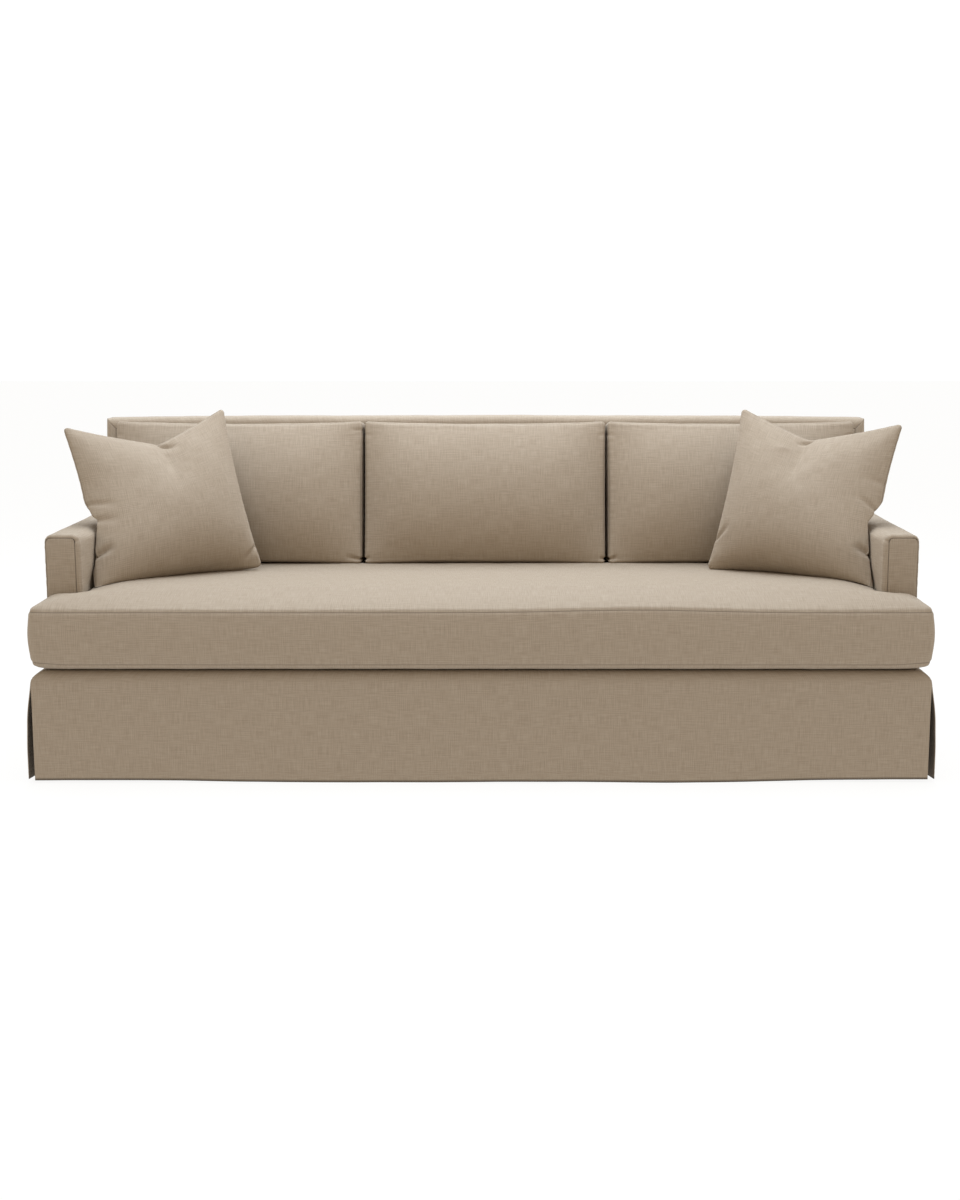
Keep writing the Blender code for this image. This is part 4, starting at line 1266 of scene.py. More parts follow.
        cut = Cut("deck_cloth", spread(-wide, wide, 3.0 * COVER.pitch),
                  spread(front, rear, 3.0 * COVER.pitch, (step,)), Vector((0.0, 0.0, 1.0)),
                  seam_depth=0.0)
        obj = cut.lay(surface)
        area = 2.0 * wide * (step - front) + 2.0 * narrow * (rear - step)
        dresser.sheet(obj, "deck", (2.0 * wide, rear - front))

    def build(self, dresser: Dresser, skirt: Skirt) -> None:
        """Make the deck, both panels and the band."""
        self.deck(dresser, skirt)
        self.inside(dresser)
        self.outside(dresser)
        self.top_band(dresser)
        for side in Side:
            self.side_band(dresser, side)


# Cushions


@dataclass
class Pad:
    """A filled piece: a flat plan, raised to a closed body and placed between two height fields."""

    name: str
    xs: Array
    ys: Array
    levels: Array
    outline: Outline
    low: Callable[[Array, Array], Array]
    high: Callable[[Array, Array], Array]
    place: Callable[[Array, Array, Array], Array]
    bulge: Callable[[Array, Array], Array]
    corners: Sequence[Corner] = ()
    keep: Callable[[Array, Array], Array] | None = None
    edge_gap: Callable[[Array, Array], Array] | None = None

    def cells(self) -> Array:
        """Which cells of the plan the pad fills."""
        mid_x, mid_y = (self.xs[1:] + self.xs[:-1]) / 2.0, (self.ys[1:] + self.ys[:-1]) / 2.0
        grid_x, grid_y = np.meshgrid(mid_x, mid_y, indexing="ij")
        return np.ones(grid_x.shape, bool) if self.keep is None else self.keep(grid_x, grid_y)

    def outward(self, cells: Array, i: Array, j: Array) -> Array:
        """The plan's outward direction at points of its border, and none inside it."""
        padded = np.pad(cells.astype(float), 1)
        count = {(a, b): padded[i + a, j + b] for a in (0, 1) for b in (0, 1)}
        out_x = count[0, 0] + count[0, 1] - count[1, 0] - count[1, 1]
        out_y = count[0, 0] + count[1, 0] - count[0, 1] - count[1, 1]
        length = np.maximum(np.hypot(out_x, out_y), 1.0e-6)
        return np.stack((out_x / length, out_y / length), 1)

    def raise_block(self, cells: Array) -> bpy.types.Object:
        """Cut the plan from a grid and extrude it, one unit for each row of its side."""
        obj, i, j = flat_grid(self.name, len(self.xs) - 1, len(self.ys) - 1)
        move_points(obj, np.stack((i, j, np.zeros(len(i))), 1))
        only(obj)
        bpy.ops.object.mode_set(mode="EDIT")
        bpy.ops.mesh.select_mode(type="FACE")
        bpy.ops.mesh.select_all(action="DESELECT")
        bpy.ops.object.mode_set(mode="OBJECT")
        for face in obj.data.polygons:
            face.select = not cells[int(face.center.x), int(face.center.y)]
        bpy.ops.object.mode_set(mode="EDIT")
        bpy.ops.mesh.delete(type="FACE")
        bpy.ops.mesh.select_all(action="SELECT")
        for _ in range(len(self.levels) - 1):
            bpy.ops.mesh.extrude_region_move(TRANSFORM_OT_translate={"value": (0.0, 0.0, 1.0)})
        bpy.ops.mesh.select_all(action="SELECT")
        bpy.ops.mesh.normals_make_consistent(inside=False)
        bpy.ops.object.mode_set(mode="OBJECT")
        return obj

    def shape(self) -> bpy.types.Object:
        """The pad before it is filled, with its weave map, plan and seam distances."""
        cells = self.cells()
        obj = self.raise_block(cells)
        unit = np.rint(points(obj)).astype(int)
        i, j, k = unit.T
        x, y, t = self.xs[i], self.ys[j], self.levels[k]
        bottom, top = self.low(x, y), self.high(x, y)
        height = top - bottom
        wall = (k > 0) & (k < len(self.levels) - 1)
        out = self.outward(cells, i, j) * (self.bulge(x, y) * np.sin(math.pi * t) * wall)[:, None]
        gap_in_plan = inset(x, y, self.outline) if self.edge_gap is None else self.edge_gap(x, y)
        gap = np.where(wall, np.minimum(t, 1.0 - t) * height, gap_in_plan)
        flat_x, flat_y = x, y
        for corner in self.corners:
            flat_x, flat_y = corner.round_off(flat_x, flat_y)
        z = bottom + height * t
        move_points(obj, self.place(flat_x + out[:, 0], flat_y + out[:, 1], z))
        # The seam distances also set where the material paints shade along the seams.
        store(obj, GAP_MAP, gap)
        store(obj, PLAN_MAP, np.stack((x, y, t), 1))

        corner = corners_of(obj)
        quads = unit[corner].reshape(-1, 4, 3)
        spans = quads.max(1) - quads.min(1)
        on_wall = np.repeat(spans[:, 2] > 0, 4)
        along_x = np.repeat(spans[:, 0] > 0, 4)
        flat_u = np.where(on_wall & ~along_x, y[corner], x[corner])
        set_weave(obj, np.stack((flat_u, np.where(on_wall, z[corner], y[corner])), 1))
        return obj


@dataclass(frozen=True)
class Filling:
    """How a pad swells: a short cloth simulation under pressure, with its seams held."""

    pressure: float = 4.0
    cap: float = 0.008
    frames: int = 20
    hold_gap: float = 0.0045

    def swell(self, obj: bpy.types.Object, free: Array) -> None:
        """Run the simulation.

        Args:
            obj: The pad.
            free: For each point, 1 where it may move and 0 where it is held.
        """
        held = obj.vertex_groups.new(name="held")
        for index in np.nonzero(free < 0.5)[0]:
            held.add([int(index)], 1.0, "REPLACE")
        before = points(obj)
        modifier = obj.modifiers.new("filling", "CLOTH")
        settings = modifier.settings
        settings.quality = 5
        settings.mass = 0.3
        settings.tension_stiffness = settings.compression_stiffness = 12.0
        settings.shear_stiffness = 4.0
        settings.bending_stiffness = 0.35
        settings.air_damping = 2.0
        settings.use_pressure = True
        settings.uniform_pressure_force = self.pressure
        settings.vertex_group_mass = "held"
        settings.pin_stiffness = 1.0
        settings.effector_weights.gravity = 0.0
        modifier.point_cache.frame_start = 1
        modifier.point_cache.frame_end = self.frames
        for frame in range(1, self.frames + 1):
            bpy.context.scene.frame_set(frame)
        only(obj)
        bpy.ops.object.modifier_apply(modifier=modifier.name)
        move = points(obj) - before
        length = np.maximum(np.linalg.norm(move, axis=1), 1.0e-9)
        limited = self.cap * np.tanh(length / self.cap) * free
        move_points(obj, before + move * (limited / length)[:, None])
        bpy.context.scene.frame_set(1)
        LOG.info("%s swelled by up to %.1f mm", obj.name, 1000.0 * limited.max())


@dataclass(frozen=True)
class Sewing:
    """The seams of a cushion: a narrow groove with slight puckers beside it."""

    depth: float = 0.0016
    reach: float = 0.0030
    ridge: float = 0.35
    ridge_at: float = 2.4
    ridge_reach: float = 1.2
    pucker: float = 0.0004
    pucker_pitch: float = 0.021
    pucker_at: float = 0.010
    pucker_reach: float = 0.011

    def push(self, plan: Array, gap: Array) -> Array:
        """How far each point stands out for the seams."""
        groove = -self.depth * bump(gap, self.reach)
        beside = gap - self.ridge_at * self.reach
        ridge = self.ridge * self.depth * bump(beside, self.ridge_reach * self.reach)
        turn = TURN / self.pucker_pitch
        drift = 1.7 * np.sin(plan[:, 0] * 9.0) + 1.3 * np.sin(plan[:, 1] * 11.0)
        ripple = np.sin(plan[:, 0] * turn + drift) + np.sin(plan[:, 1] * turn + 1.0 + drift)
        puckers = self.pucker * ripple * bump(gap - self.pucker_at, self.pucker_reach)
        return groove + ridge + puckers


def detail(obj: bpy.types.Object, sewing: Sewing, creases: Sequence[Crease] = ()) -> None:
    """Smooth a pad with one subdivision, then press its seams and creases into it.

    Args:
        obj: The pad.
        sewing: Its seams.
        creases: Its creases, in its plan. They stay on its upper or front face.
    """
    face_start, face_run, slow_share, calm = 0.3, 0.5, 0.9, 0.03
    apply(obj, "SUBSURF", {"levels": 1, "render_levels": 1})
    plan, gap = read(obj, PLAN_MAP), read(obj, GAP_MAP)
    push = sewing.push(plan, gap)
    face = ease((plan[:, 2] - face_start) / face_run)
    for crease in creases:
        push = push - crease.sink(plan[:, 0], plan[:, 1]) * face
    slow = waves(HAND_WAVES, plan[:, 0] + 0.4 * plan[:, 1])
    slow = slow + waves(HAND_WAVES, plan[:, 1] - 0.5 * plan[:, 0] + 0.3)
    push = push + slow_share * slow * ease(gap / calm)
    move_points(obj, points(obj) + normals(obj) * push[:, None])


@dataclass
class BenchCushion:
    """The boxed bench cushion, T shaped, with a wing in front of each arm."""

    half: float = 1.222
    front_over: float = 0.006
    wing_gap: float = 0.0045
    body_gap: float = 0.0035
    rear_run: float = 0.845
    seam_low: float = 0.331
    seam_high: float = 0.474
    crown: float = 0.044
    crown_reach: float = 0.14
    sag: float = 0.018
    sag_from: float = 0.15
    sag_run: float = 0.5
    sway: float = 0.002
    sway_rate: float = 2.2
    sway_phase: float = 0.9
    roll_under: float = 0.060
    front_bulge: float = 0.008
    body_bulge: float = 0.001
    bulge_margin: float = 0.01
    tip_lift: float = 0.006
    arm_squeeze: float = 0.035
    pitch: float = 0.0165
    seam_rise: float = 0.007
    seam_rise_x: float = 0.42
    seam_rise_width: float = 0.26
    seam_rise_run: float = 0.12
    front_radius: float = 0.030
    wing_radius: float = 0.018
    rear_radius: float = 0.040
    edge_lines: tuple[float, ...] = (0.004, 0.012)
    levels: tuple[float, ...] = (0.0, 0.03, 0.1, 0.2, 0.32, 0.44, 0.56, 0.68, 0.8, 0.9, 0.97, 1.0)
    slack: float = 0.004
    slack_reach: float = 0.06
    outline: Outline = field(init=False)
    crown_outline: Outline = field(init=False)

    def __post_init__(self) -> None:
        """Work out the plan, and the wider one that the crown falls off to beside the arms."""
        self.front = COVER.front - self.front_over
        self.wing_rear = COVER.arm_front - self.wing_gap
        self.body = COVER.arm_inside - self.body_gap
        self.rear = COVER.front + self.rear_run
        self.outline = self.bench_plan(0.0)
        self.crown_outline = self.bench_plan(self.arm_squeeze)

    def bench_plan(self, widen: float) -> Outline:
        """The T-shaped plan, with the sides that face the arms moved outward."""
        body, wing_rear = self.body + widen, self.wing_rear + widen
        right = [(self.half, self.front), (self.half, wing_rear), (body, wing_rear),
                 (body, self.rear)]
        return right + [(-x, y) for x, y in reversed(right)]

    def top(self, x: Array, y: Array) -> Array:
        """Height of the cushion's top."""
        distance = inset(x, y, self.crown_outline)
        sag = self.sag * ease((y - COVER.front - self.sag_from) / self.sag_run)
        sag = sag - self.sway * np.sin(self.sway_rate * x + self.sway_phase)
        rise = self.seam_rise * bump(x - self.seam_rise_x, self.seam_rise_width)
        rise = rise * bump(y - self.front, self.seam_rise_run)
        return self.seam_high + rise + (self.crown - sag) * puff(distance / self.crown_reach)

    def under(self, x: Array, y: Array) -> Array:
        """Height of the cushion's underside."""
        rest = COVER.inner_foot
        roll = 1.0 - puff(inset(x, y, self.outline) / self.roll_under)
        tip = self.tip_lift * ease((np.abs(x) - self.body) / (self.half - self.body))
        return rest + (self.seam_low + tip - rest) * roll

    def build(self, dresser: Dresser) -> None:
        """Make the cushion."""
        corners = [
            Corner(sign * x, y, sign, out_y, radius)
            for sign in (-1.0, 1.0)
            for x, y, out_y, radius in (
                (self.half, self.front, -1.0, self.front_radius),
                (self.half, self.wing_rear, 1.0, self.wing_radius),
                (self.body, self.rear, 1.0, self.rear_radius),
            )
        ]
        edge = self.edge_lines
        right = [self.half - e for e in edge] + [self.body, self.half]
        xs = self.lines(-self.half, self.half, [s * x for x in right for s in (-1.0, 1.0)])
        rows = [self.front, *(self.front + e for e in edge), self.wing_rear, self.rear]
        rows += [self.rear - e for e in edge] + [self.wing_rear - e for e in edge]
        ys = self.lines(self.front, self.rear, rows)
        pad = Pad(
            "bench_cushion", xs, ys, np.array(self.levels),
            self.outline, self.under, self.top, lambda x, y, z: np.stack((x, y, z), 1),
            lambda x, y: np.where(y < self.wing_rear - self.bulge_margin, self.front_bulge,
                                  self.body_bulge),
            corners, lambda x, y: (y < self.wing_rear) | (np.abs(x) < self.body),
        )
        obj = pad.shape()
        plan, gap = read(obj, PLAN_MAP), read(obj, GAP_MAP)
        on_top = (plan[:, 2] > UPPER_FACE) & (gap > Filling.hold_gap)
        start = points(obj)
        start[:, 2] -= self.slack * on_top * ease(gap / self.slack_reach)
        move_points(obj, start)
        Filling(pressure=3.0, cap=0.006).swell(obj, on_top.astype(float))
        detail(obj, Sewing())
        dresser.cushion(obj, "seat_cushion")

    def lines(self, start: float, end: float, marks: Sequence[float]) -> Array:
        """Grid lines at about the cushion's pitch that pass through all marks."""
        stops = sorted({start, end, *marks})
        out = [start]
        for a, b in zip(stops, stops[1:]):
            count = max(1, round((b - a) / self.pitch))
            out += [mix(a, b, n / count) for n in range(1, count + 1)]
        return np.array(out)


@dataclass(frozen=True)
class BackPlace:
    """One back cushion: its start and end along X, its corners' spread and its creases."""

    word: str
    start: float
    end: float
    spread_start: float
    spread_end: float
    creases: tuple[Crease, ...]


def corner_tucks(start: float, end: float, left: float, right: float) -> tuple[Crease, ...]:
    """The short tucks at a back cushion's lower corners, of the given lengths."""
    return (
        Crease((start, 0.013), (start + left, 0.021), 0.0055, 0.008),
        Crease((end, 0.013), (end - right, 0.021), 0.0055, 0.008),
        Crease((start, 0.402), (start + 0.032, 0.396), 0.005, 0.0022),
        Crease((end, 0.402), (end - 0.032, 0.396), 0.005, 0.0022),
    )


@dataclass
class BackCushions:
    """Three boxed cushions with drawn-in sides that lean on the inside back."""

    bench: BenchCushion
    foot: float = 0.484
    rise: float = 0.440
    low: float = 0.165
    high: float = 0.115
    crown: float = 0.074
    reach: float = 0.215
    fullness: float = 0.76
    roll: float = 0.050
    rear_roll: float = 0.022
    draw: float = 0.006
    side_draw: float = 0.003
    side_bulge: float = 0.004
    side_bulge_reach: float = 0.12
    front_draw: float = 0.004
    ear: float = 0.004
    spread: float = 0.044
    spread_from: float = 0.3
    spread_rate: float = 1.4
    corner: float = 0.013
    slack: float = 0.007
    slack_reach: float = 0.05
    over_face: float = 0.0006
    columns: int = 62
    rows: int = 40
    edge_lines: tuple[float, ...] = (0.0, 0.004, 0.011, 0.020)
    levels: tuple[float, ...] = (0.0, 0.03, 0.1, 0.22, 0.36, 0.5, 0.64, 0.78, 0.9, 0.97, 1.0)

    def __post_init__(self) -> None:
        """Work out the cushions' own axes: X along the sofa, Y up the inside back, Z forward."""
        up = Vector((0.0, COVER.back_lean, 1.0)).normalized()
        forward = Vector((0.0, -1.0, COVER.back_lean)).normalized()
        frame = Matrix((Vector((1.0, 0.0, 0.0)), up, forward)).transposed().to_4x4()
        frame.translation = Vector((0.0, COVER.back_front(self.foot), self.foot))
        self.frame = frame
        outer, inner, gap = 1.1115, 0.3785, 0.0025
        left, right = (-outer, -inner - gap), (inner + gap, outer)
        dimple = Crease((left[1], 0.412), (left[1] - 0.045, 0.417), 0.005, 0.004)
        self.places = (
            BackPlace("left", *left, self.spread, 0.0,
                      (*corner_tucks(*left, 0.03, 0.060), dimple)),
            BackPlace("middle", -inner, inner, 0.0, 0.0, corner_tucks(-inner, inner, 0.02, 0.02)),
            BackPlace("right", *right, 0.0, self.spread, corner_tucks(*right, 0.035, 0.03)),
        )

    def outline(self, place: BackPlace) -> Outline:
        """A cushion's four corners in its own axes."""
        return [(place.start, 0.0), (place.end, 0.0), (place.end, self.rise),
                (place.start, self.rise)]

    def face(self, place: BackPlace, x: Array, y: Array) -> Array:
        """How far a cushion's front stands off the inside back."""
        seam = mix(self.low, self.high, y / self.rise)
        beside = np.minimum(x - place.start, place.end - x) / self.reach
        above = np.minimum(y, self.rise - y) / self.reach
        return seam + self.crown * puff(beside, self.fullness) * puff(above, self.fullness)

    def world(self, local: Array) -> Array:
        """World places of points in the cushions' own axes."""
        matrix = np.array(self.frame)
        return local @ matrix[:3, :3].T + matrix[:3, 3]

    def local(self, world: Array) -> Array:
        """Places of world points in the cushions' own axes."""
        matrix = np.array(self.frame)
        return (world - matrix[:3, 3]) @ matrix[:3, :3]

    def lift_off_seat(self, world: Array) -> Array:
        """Keep points above the bench cushion."""
        x, y, z = world.T
        floor = self.bench.top(x, np.minimum(y, self.bench.rear)) + 2.0 * COVER.gap
        return np.stack((x, y, np.where(y < self.bench.rear, np.maximum(z, floor), z)), 1)

    def build_one(self, dresser: Dresser, place: BackPlace) -> None:
        """Make one cushion."""
        middle, half = (place.start + place.end) / 2.0, (place.end - place.start) / 2.0
        outline = self.outline(place)

        def rear(x: Array, y: Array) -> Array:
            return COVER.gap + self.rear_roll * (1.0 - puff(inset(x, y, outline) / self.roll))

        def put(x: Array, y: Array, z: Array) -> Array:
            across, height = (x - middle) / half, y / self.rise * 2.0 - 1.0
            wide = np.where(across < 0.0, place.spread_start, place.spread_end)
            beyond = np.maximum(0.0, np.abs(across) - self.spread_from)
            lean = wide * ease(height * self.spread_rate) * beyond / (1.0 - self.spread_from)
            x = x - across**3 * self.side_draw * (1.0 - height**2) + np.copysign(lean, across)
            x = x - across**7 * self.front_draw * np.clip(z / self.low, 0.0, 1.0) ** 2
            y = y - height**3 * self.draw * (1.0 - across**2)
            y = y + self.ear * across**6 * np.maximum(height, 0.0) ** 2
            return self.lift_off_seat(self.world(np.stack((x, y, z), 1)))

        def side_room(x: Array, y: Array) -> Array:
            room = np.minimum.reduce([np.hypot(x - cx, y - cy) for cx, cy in outline])
            return self.side_bulge * np.minimum(1.0, room / self.side_bulge_reach)

        corners = [
            Corner(x, y, math.copysign(1.0, x - middle), math.copysign(1.0, y - self.rise / 2.0),
                   self.corner)
            for x, y in outline
        ]
        pad = Pad(
            f"back_pad_{place.word}", self.lines(place.start, place.end, self.columns),
            self.lines(0.0, self.rise, self.rows), np.array(self.levels), outline, rear,
            lambda x, y: self.face(place, x, y), put, side_room, corners,
        )
        obj = pad.shape()
        plan, gap = read(obj, PLAN_MAP), read(obj, GAP_MAP)
        free = ((plan[:, 2] > UPPER_FACE) & (gap > Filling.hold_gap)).astype(float)
        local = self.local(points(obj))
        local[:, 2] -= self.slack * free * ease(gap / self.slack_reach)
        move_points(obj, self.world(local))
        Filling(pressure=3.5, cap=0.012).swell(obj, free)
        detail(obj, Sewing(), place.creases)
        local, plan = self.local(points(obj)), read(obj, PLAN_MAP)
        limit = self.face(place, plan[:, 0], plan[:, 1]) + self.over_face
        local[:, 2] = np.clip(local[:, 2], COVER.gap, limit)
        move_points(obj, self.lift_off_seat(self.world(local)))
        dresser.cushion(obj, f"back_cushion_{place.word}")

    def lines(self, start: float, end: float, count: int) -> Array:
        """Grid lines with extra ones beside both ends."""
        near = self.edge_lines
        inner = [mix(start + near[-1], end - near[-1], n / count) for n in range(count + 1)]
        first = [start + n for n in near[:-1]]
        return np.array(first + inner + [end - n for n in reversed(near[:-1])])

    def build(self, dresser: Dresser) -> None:
        """Make all three cushions."""
        for place in self.places:
            self.build_one(dresser, place)


@dataclass(frozen=True)
class PillowPlace:
    """One throw pillow: its place, its two directions, its size and its form.

    The form is its half thickness, the depth and place of the dent in its top edge, how far
    its lower corner beside the arm has slid forward on the seat, and its creases.
    """

    word: str
    middle: tuple[float, float, float]
    across: tuple[float, float, float]
    up: tuple[float, float, float]
    half: float
    fill: float
    dent: float
    dent_at: float
    slide: float
    creases: tuple[Crease, ...]

    def frame(self) -> Matrix:
        """The pillow's own axes."""
        across = Vector(self.across).normalized()
        up = Vector(self.up)
        up = (up - across * across.dot(up)).normalized()
        frame = Matrix((across, up, across.cross(up))).transposed().to_4x4()
        frame.translation = Vector(self.middle)
        return frame


@dataclass
class ThrowPillows:
    """Two knife-edged pillows with pulled-out corners and a dent in their top edges."""

    bench: BenchCushion
    backs: BackCushions
    seam: float = 0.007
    draw: float = 0.056
    fullness: float = 0.62
    foot_power: float = 0.58
    head_power: float = 0.68
    filled: float = 0.94
    curl: float = 0.045
    curl_reach: float = 0.32
    dent_width: float = 0.22
    dent_thin: float = 0.35
    dent_from: float = -0.4
    slide_from: tuple[float, float] = (-0.3, -0.4)
    corner: float = 0.018
    side_bulge: float = 0.0010
    clearance: float = 0.0012
    arm_clearance: float = 0.004
    arm_round: float = 0.015
    held_gap: float = 0.002
    columns: int = 66
    crowding: float = 0.55
    places: tuple[PillowPlace, ...] = (
        PillowPlace(
            "left", (-0.945, COVER.front + 0.500, 0.729), (0.410, 0.270, 0.040),
            (-0.110, 0.120, 0.448), 0.252, 0.100, 0.076, 0.09, 0.072,
            (
                Crease((0.014, 0.248), (0.070, 0.204), 0.008, 0.011),
                Crease((0.006, 0.214), (0.060, 0.180), 0.010, -0.002, False),
                Crease((-0.245, 0.012), (-0.160, -0.004), 0.009, 0.0055),
                Crease((-0.245, -0.036), (-0.155, -0.052), 0.010, 0.0060),
                Crease((-0.245, -0.136), (-0.185, -0.118), 0.010, 0.012),
                Crease((0.245, -0.190), (0.190, -0.240), 0.008, 0.007),
                Crease((-0.120, 0.060), (0.060, 0.090), 0.050, 0.0020, False),
            ),
        ),
        PillowPlace(
            "right", (0.946, COVER.front + 0.503, 0.729), (0.415, -0.262, -0.030),
            (0.105, 0.115, 0.450), 0.255, 0.098, 0.066, -0.07, 0.060,
            (
                Crease((-0.004, 0.248), (-0.050, 0.214), 0.008, 0.009),
                Crease((-0.045, 0.196), (-0.125, 0.160), 0.013, -0.0030, False),
                Crease((0.249, -0.012), (0.175, 0.032), 0.009, 0.0070),
                Crease((0.249, 0.070), (0.185, 0.085), 0.012, 0.0025),
                Crease((0.249, -0.140), (0.190, -0.118), 0.010, 0.012),
                Crease((-0.249, -0.158), (-0.190, -0.108), 0.010, 0.0075),
                Crease((0.120, 0.060), (-0.060, 0.070), 0.050, 0.0020, False),
            ),
        ),
    )

    def swell(self, u: Array, v: Array) -> Array:
        """A pillow's share of its thickness, a little fuller toward its foot."""
        foot, head = self.foot_power, self.head_power
        s = (v + 1.0) / 2.0
        most = (foot / (foot + head)) ** foot * (head / (foot + head)) ** head
        up = np.clip(s, 0.0, 1.0) ** foot * np.clip(1.0 - s, 0.0, 1.0) ** head / most
        return up * np.clip(1.0 - u * u, 0.0, 1.0) ** self.fullness

    def press(self, world: Array) -> Array:
        """Keep points off the bench cushion, the arms and the back cushions."""
        x, y, z = world.T
        over_arm = np.maximum(0.0, z - COVER.arm_top - self.arm_round)
        limit = COVER.arm_inside - self.clearance - self.arm_clearance + over_arm
        limit = limit - COVER.arm_bulge(y, z)
        local = self.backs.local(np.stack((np.clip(x, -limit, limit), y, z), 1))
        for place in self.backs.places:
            over = (local[:, 0] > place.start) & (local[:, 0] < place.end)
            over &= (local[:, 1] > 0.0) & (local[:, 1] < self.backs.rise)
            face = self.backs.face(place, local[:, 0], local[:, 1]) + self.clearance
            local[:, 2] = np.where(over, np.maximum(local[:, 2], face), local[:, 2])
        x, y, z = self.backs.world(local).T
        on_seat = (y < self.bench.rear) & (np.abs(x) < self.bench.body)
        floor = self.bench.top(x, y) + self.clearance
        return np.stack((x, y, np.where(on_seat, np.maximum(z, floor), z)), 1)

    def build_one(self, dresser: Dresser, place: PillowPlace) -> None:
        """Make one pillow."""
        frame = np.array(place.frame())
        half = place.half
        outline = [(-half, -half), (half, -half), (half, half), (-half, half)]

        def thick(x: Array, y: Array) -> Array:
            u, v = x / half, y / half
            chop = bump(u - place.dent_at, self.dent_width) * ease(v + 0.1)
            full = place.fill * self.filled * self.swell(u, v)
            return self.seam / 2.0 + full * (1.0 - self.dent_thin * chop)

        def put(x: Array, y: Array, z: Array) -> Array:
            u, v = x / half, y / half
            corner = np.where(u < place.dent_at, -1.0, 1.0)
            dent = 1.0 - (u - place.dent_at) / (corner - place.dent_at)
            x = x * (1.0 - self.draw * (1.0 - v * v) * u * u)
            y = y * (1.0 - self.draw * (1.0 - u * u) * v * v)
            under = np.clip(1.0 - (v + 1.0) / 2.0 / self.curl_reach, 0.0, 1.0)
            z = z - self.curl * under**2 * (1.0 - u**4)
            y = y - place.dent * dent * toward(v, self.dent_from)
            world = np.stack((x, y, z), 1) @ frame[:3, :3].T + frame[:3, 3]
            outward = math.copysign(1.0, place.middle[0]) * u
            out_from, down_from = self.slide_from
            slide = place.slide * toward(outward, out_from) * toward(-v, down_from)
            world[:, 1] -= slide
            return self.press(world)

        even = np.linspace(-1.0, 1.0, self.columns + 1)
        lines = half * mix(even, np.sin(even * QUARTER), self.crowding)
        pad = Pad(f"pillow_{place.word}", lines, lines, np.array([0.0, 0.5, 1.0]), outline,
                  lambda x, y: -thick(x, y), thick, put,
                  lambda x, y: np.full(x.shape, self.side_bulge),
                  [Corner(x, y, math.copysign(1.0, x), math.copysign(1.0, y), self.corner)
                   for x, y in outline],
                  edge_gap=lambda x, y: half - np.maximum(np.abs(x), np.abs(y)))
        obj = pad.shape()
        plan, gap = read(obj, PLAN_MAP), read(obj, GAP_MAP)
        free = ((plan[:, 2] != 0.5) & (gap > self.held_gap)).astype(float)
        Filling(pressure=3.0, cap=0.010).swell(obj, free)
        detail(obj, Sewing(depth=0.0012, pucker=0.0003, pucker_pitch=0.031), place.creases)
        move_points(obj, self.press(points(obj)))
        dresser.cushion(obj, f"throw_pillow_{place.word}")

    def build(self, dresser: Dresser) -> None:
        """Make both pillows."""
        for place in self.places:
            self.build_one(dresser, place)


# Studio


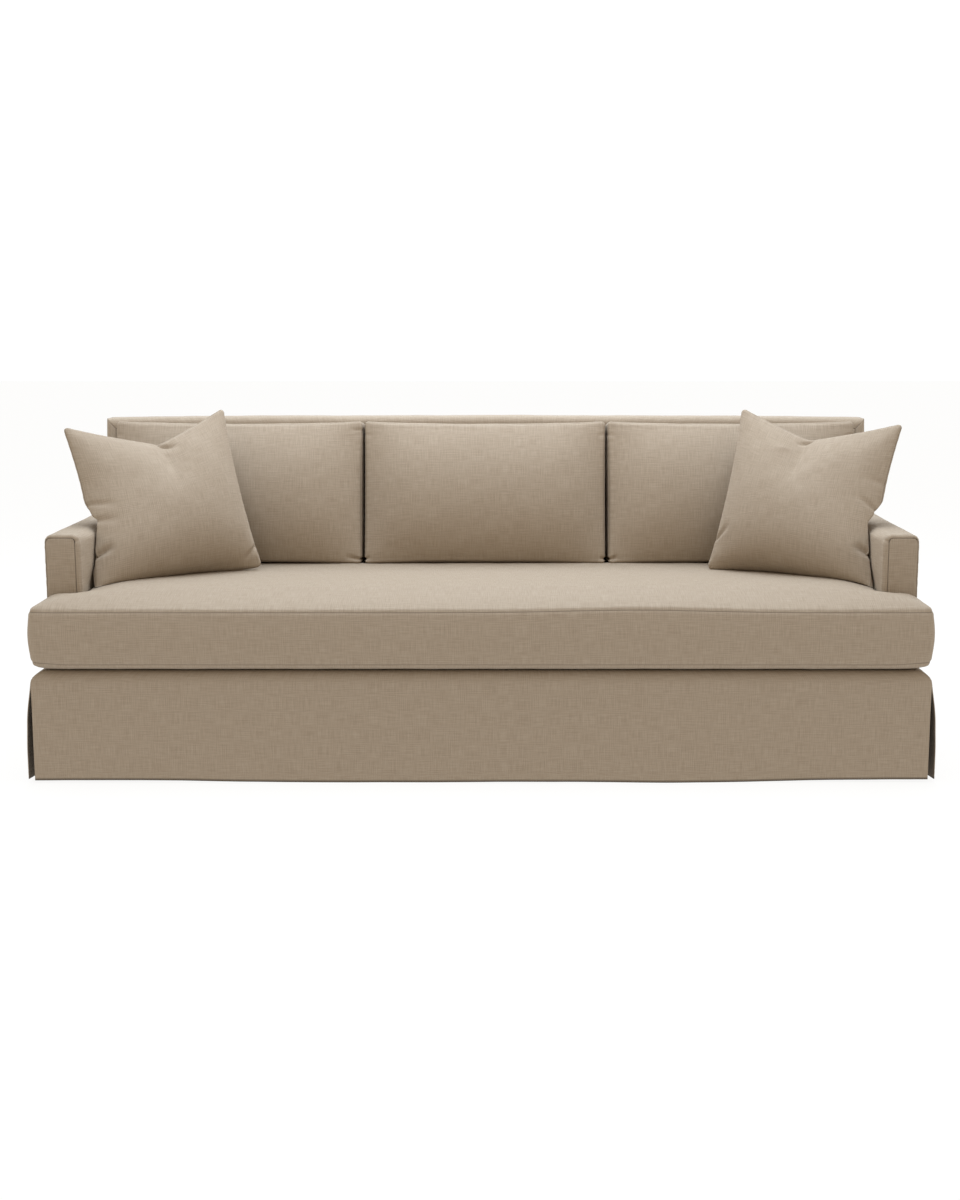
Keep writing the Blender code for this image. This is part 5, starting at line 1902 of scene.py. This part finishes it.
@dataclass
class Studio:
    """The floor, the light and the camera."""

    floor_size: float = 60.0
    backdrop: tuple[float, float, float] = (1.3, 1.5, 1.75)
    room: tuple[float, float, float] = (1.15, 0.96, 0.75)
    ceiling: tuple[float, float, float] = (0.67, 0.69, 0.69)
    backdrop_band: tuple[float, float] = (0.1, 0.75)
    ceiling_band: tuple[float, float] = (0.3, 0.7)
    softbox: float = 156.0
    softbox_place: tuple[float, float, float] = (0.0, 0.45, 3.3)
    softbox_size: tuple[float, float] = (3.6, 3.0)
    softbox_colour: tuple[float, float, float] = (0.91, 1.0, 1.12)
    camera_place: tuple[float, float, float] = (0.0781, COVER.front - 4.3704, 1.24988)
    camera_pitch: float = 9.631
    lens: float = 49.5
    sensor: float = 36.0
    shift_x: float = -0.025

    def floor(self) -> None:
        """Lay the floor."""
        bpy.ops.object.select_all(action="DESELECT")
        bpy.ops.mesh.primitive_plane_add(size=self.floor_size)
        floor = bpy.context.object
        floor.name = "floor"
        floor.data.materials.append(FloorPaint().build())

    def light(self) -> None:
        """A white backdrop in a warm room with a cool ceiling, and a softbox overhead."""
        world = bpy.data.worlds.new("room")
        world.use_nodes = True
        background = world.node_tree.nodes["Background"]
        nodes = Nodes(world.node_tree)
        place = nodes.add("ShaderNodeTexCoord", {}, {})
        axes = nodes.add("ShaderNodeSeparateXYZ", {}, {0: place.outputs["Generated"]})
        behind = Term(nodes, axes.outputs[1]).between(*self.backdrop_band)
        above = Term(nodes, axes.outputs[2]).between(*self.ceiling_band)
        walls = nodes.blend(behind, (*self.room, 1.0), (*self.backdrop, 1.0))
        colour = nodes.blend(above, walls, (*self.ceiling, 1.0))
        world.node_tree.links.new(colour, background.inputs["Color"])
        bpy.context.scene.world = world
        bpy.ops.object.light_add(type="AREA", location=self.softbox_place)
        softbox = bpy.context.object
        softbox.name = "softbox"
        softbox.data.shape = "RECTANGLE"
        softbox.data.size, softbox.data.size_y = self.softbox_size
        softbox.data.energy = self.softbox
        softbox.data.color = self.softbox_colour

    def camera(self) -> None:
        """Place the camera."""
        bpy.ops.object.camera_add(location=self.camera_place)
        camera = bpy.context.object
        camera.name = "camera"
        camera.rotation_euler = (math.radians(90.0 - self.camera_pitch), 0.0, 0.0)
        camera.data.sensor_fit = "VERTICAL"
        camera.data.sensor_height = self.sensor
        camera.data.lens = self.lens
        camera.data.shift_x = self.shift_x
        bpy.context.scene.camera = camera

    def build(self) -> None:
        """Set the whole studio."""
        self.floor()
        self.light()
        self.camera()
        bpy.context.scene.view_settings.view_transform = "Standard"


def main() -> None:
    """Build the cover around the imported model."""
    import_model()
    Studio().build()
    dresser = Dresser(Linen().build())
    skirt = Skirt()
    skirt.build(dresser)
    Arms().build(dresser)
    Back().build(dresser, skirt)
    bench = BenchCushion()
    bench.build(dresser)
    backs = BackCushions(bench)
    backs.build(dresser)
    ThrowPillows(bench, backs).build(dresser)
    LOG.info("%d pieces", dresser.count)


if __name__ == "__main__":
    main()
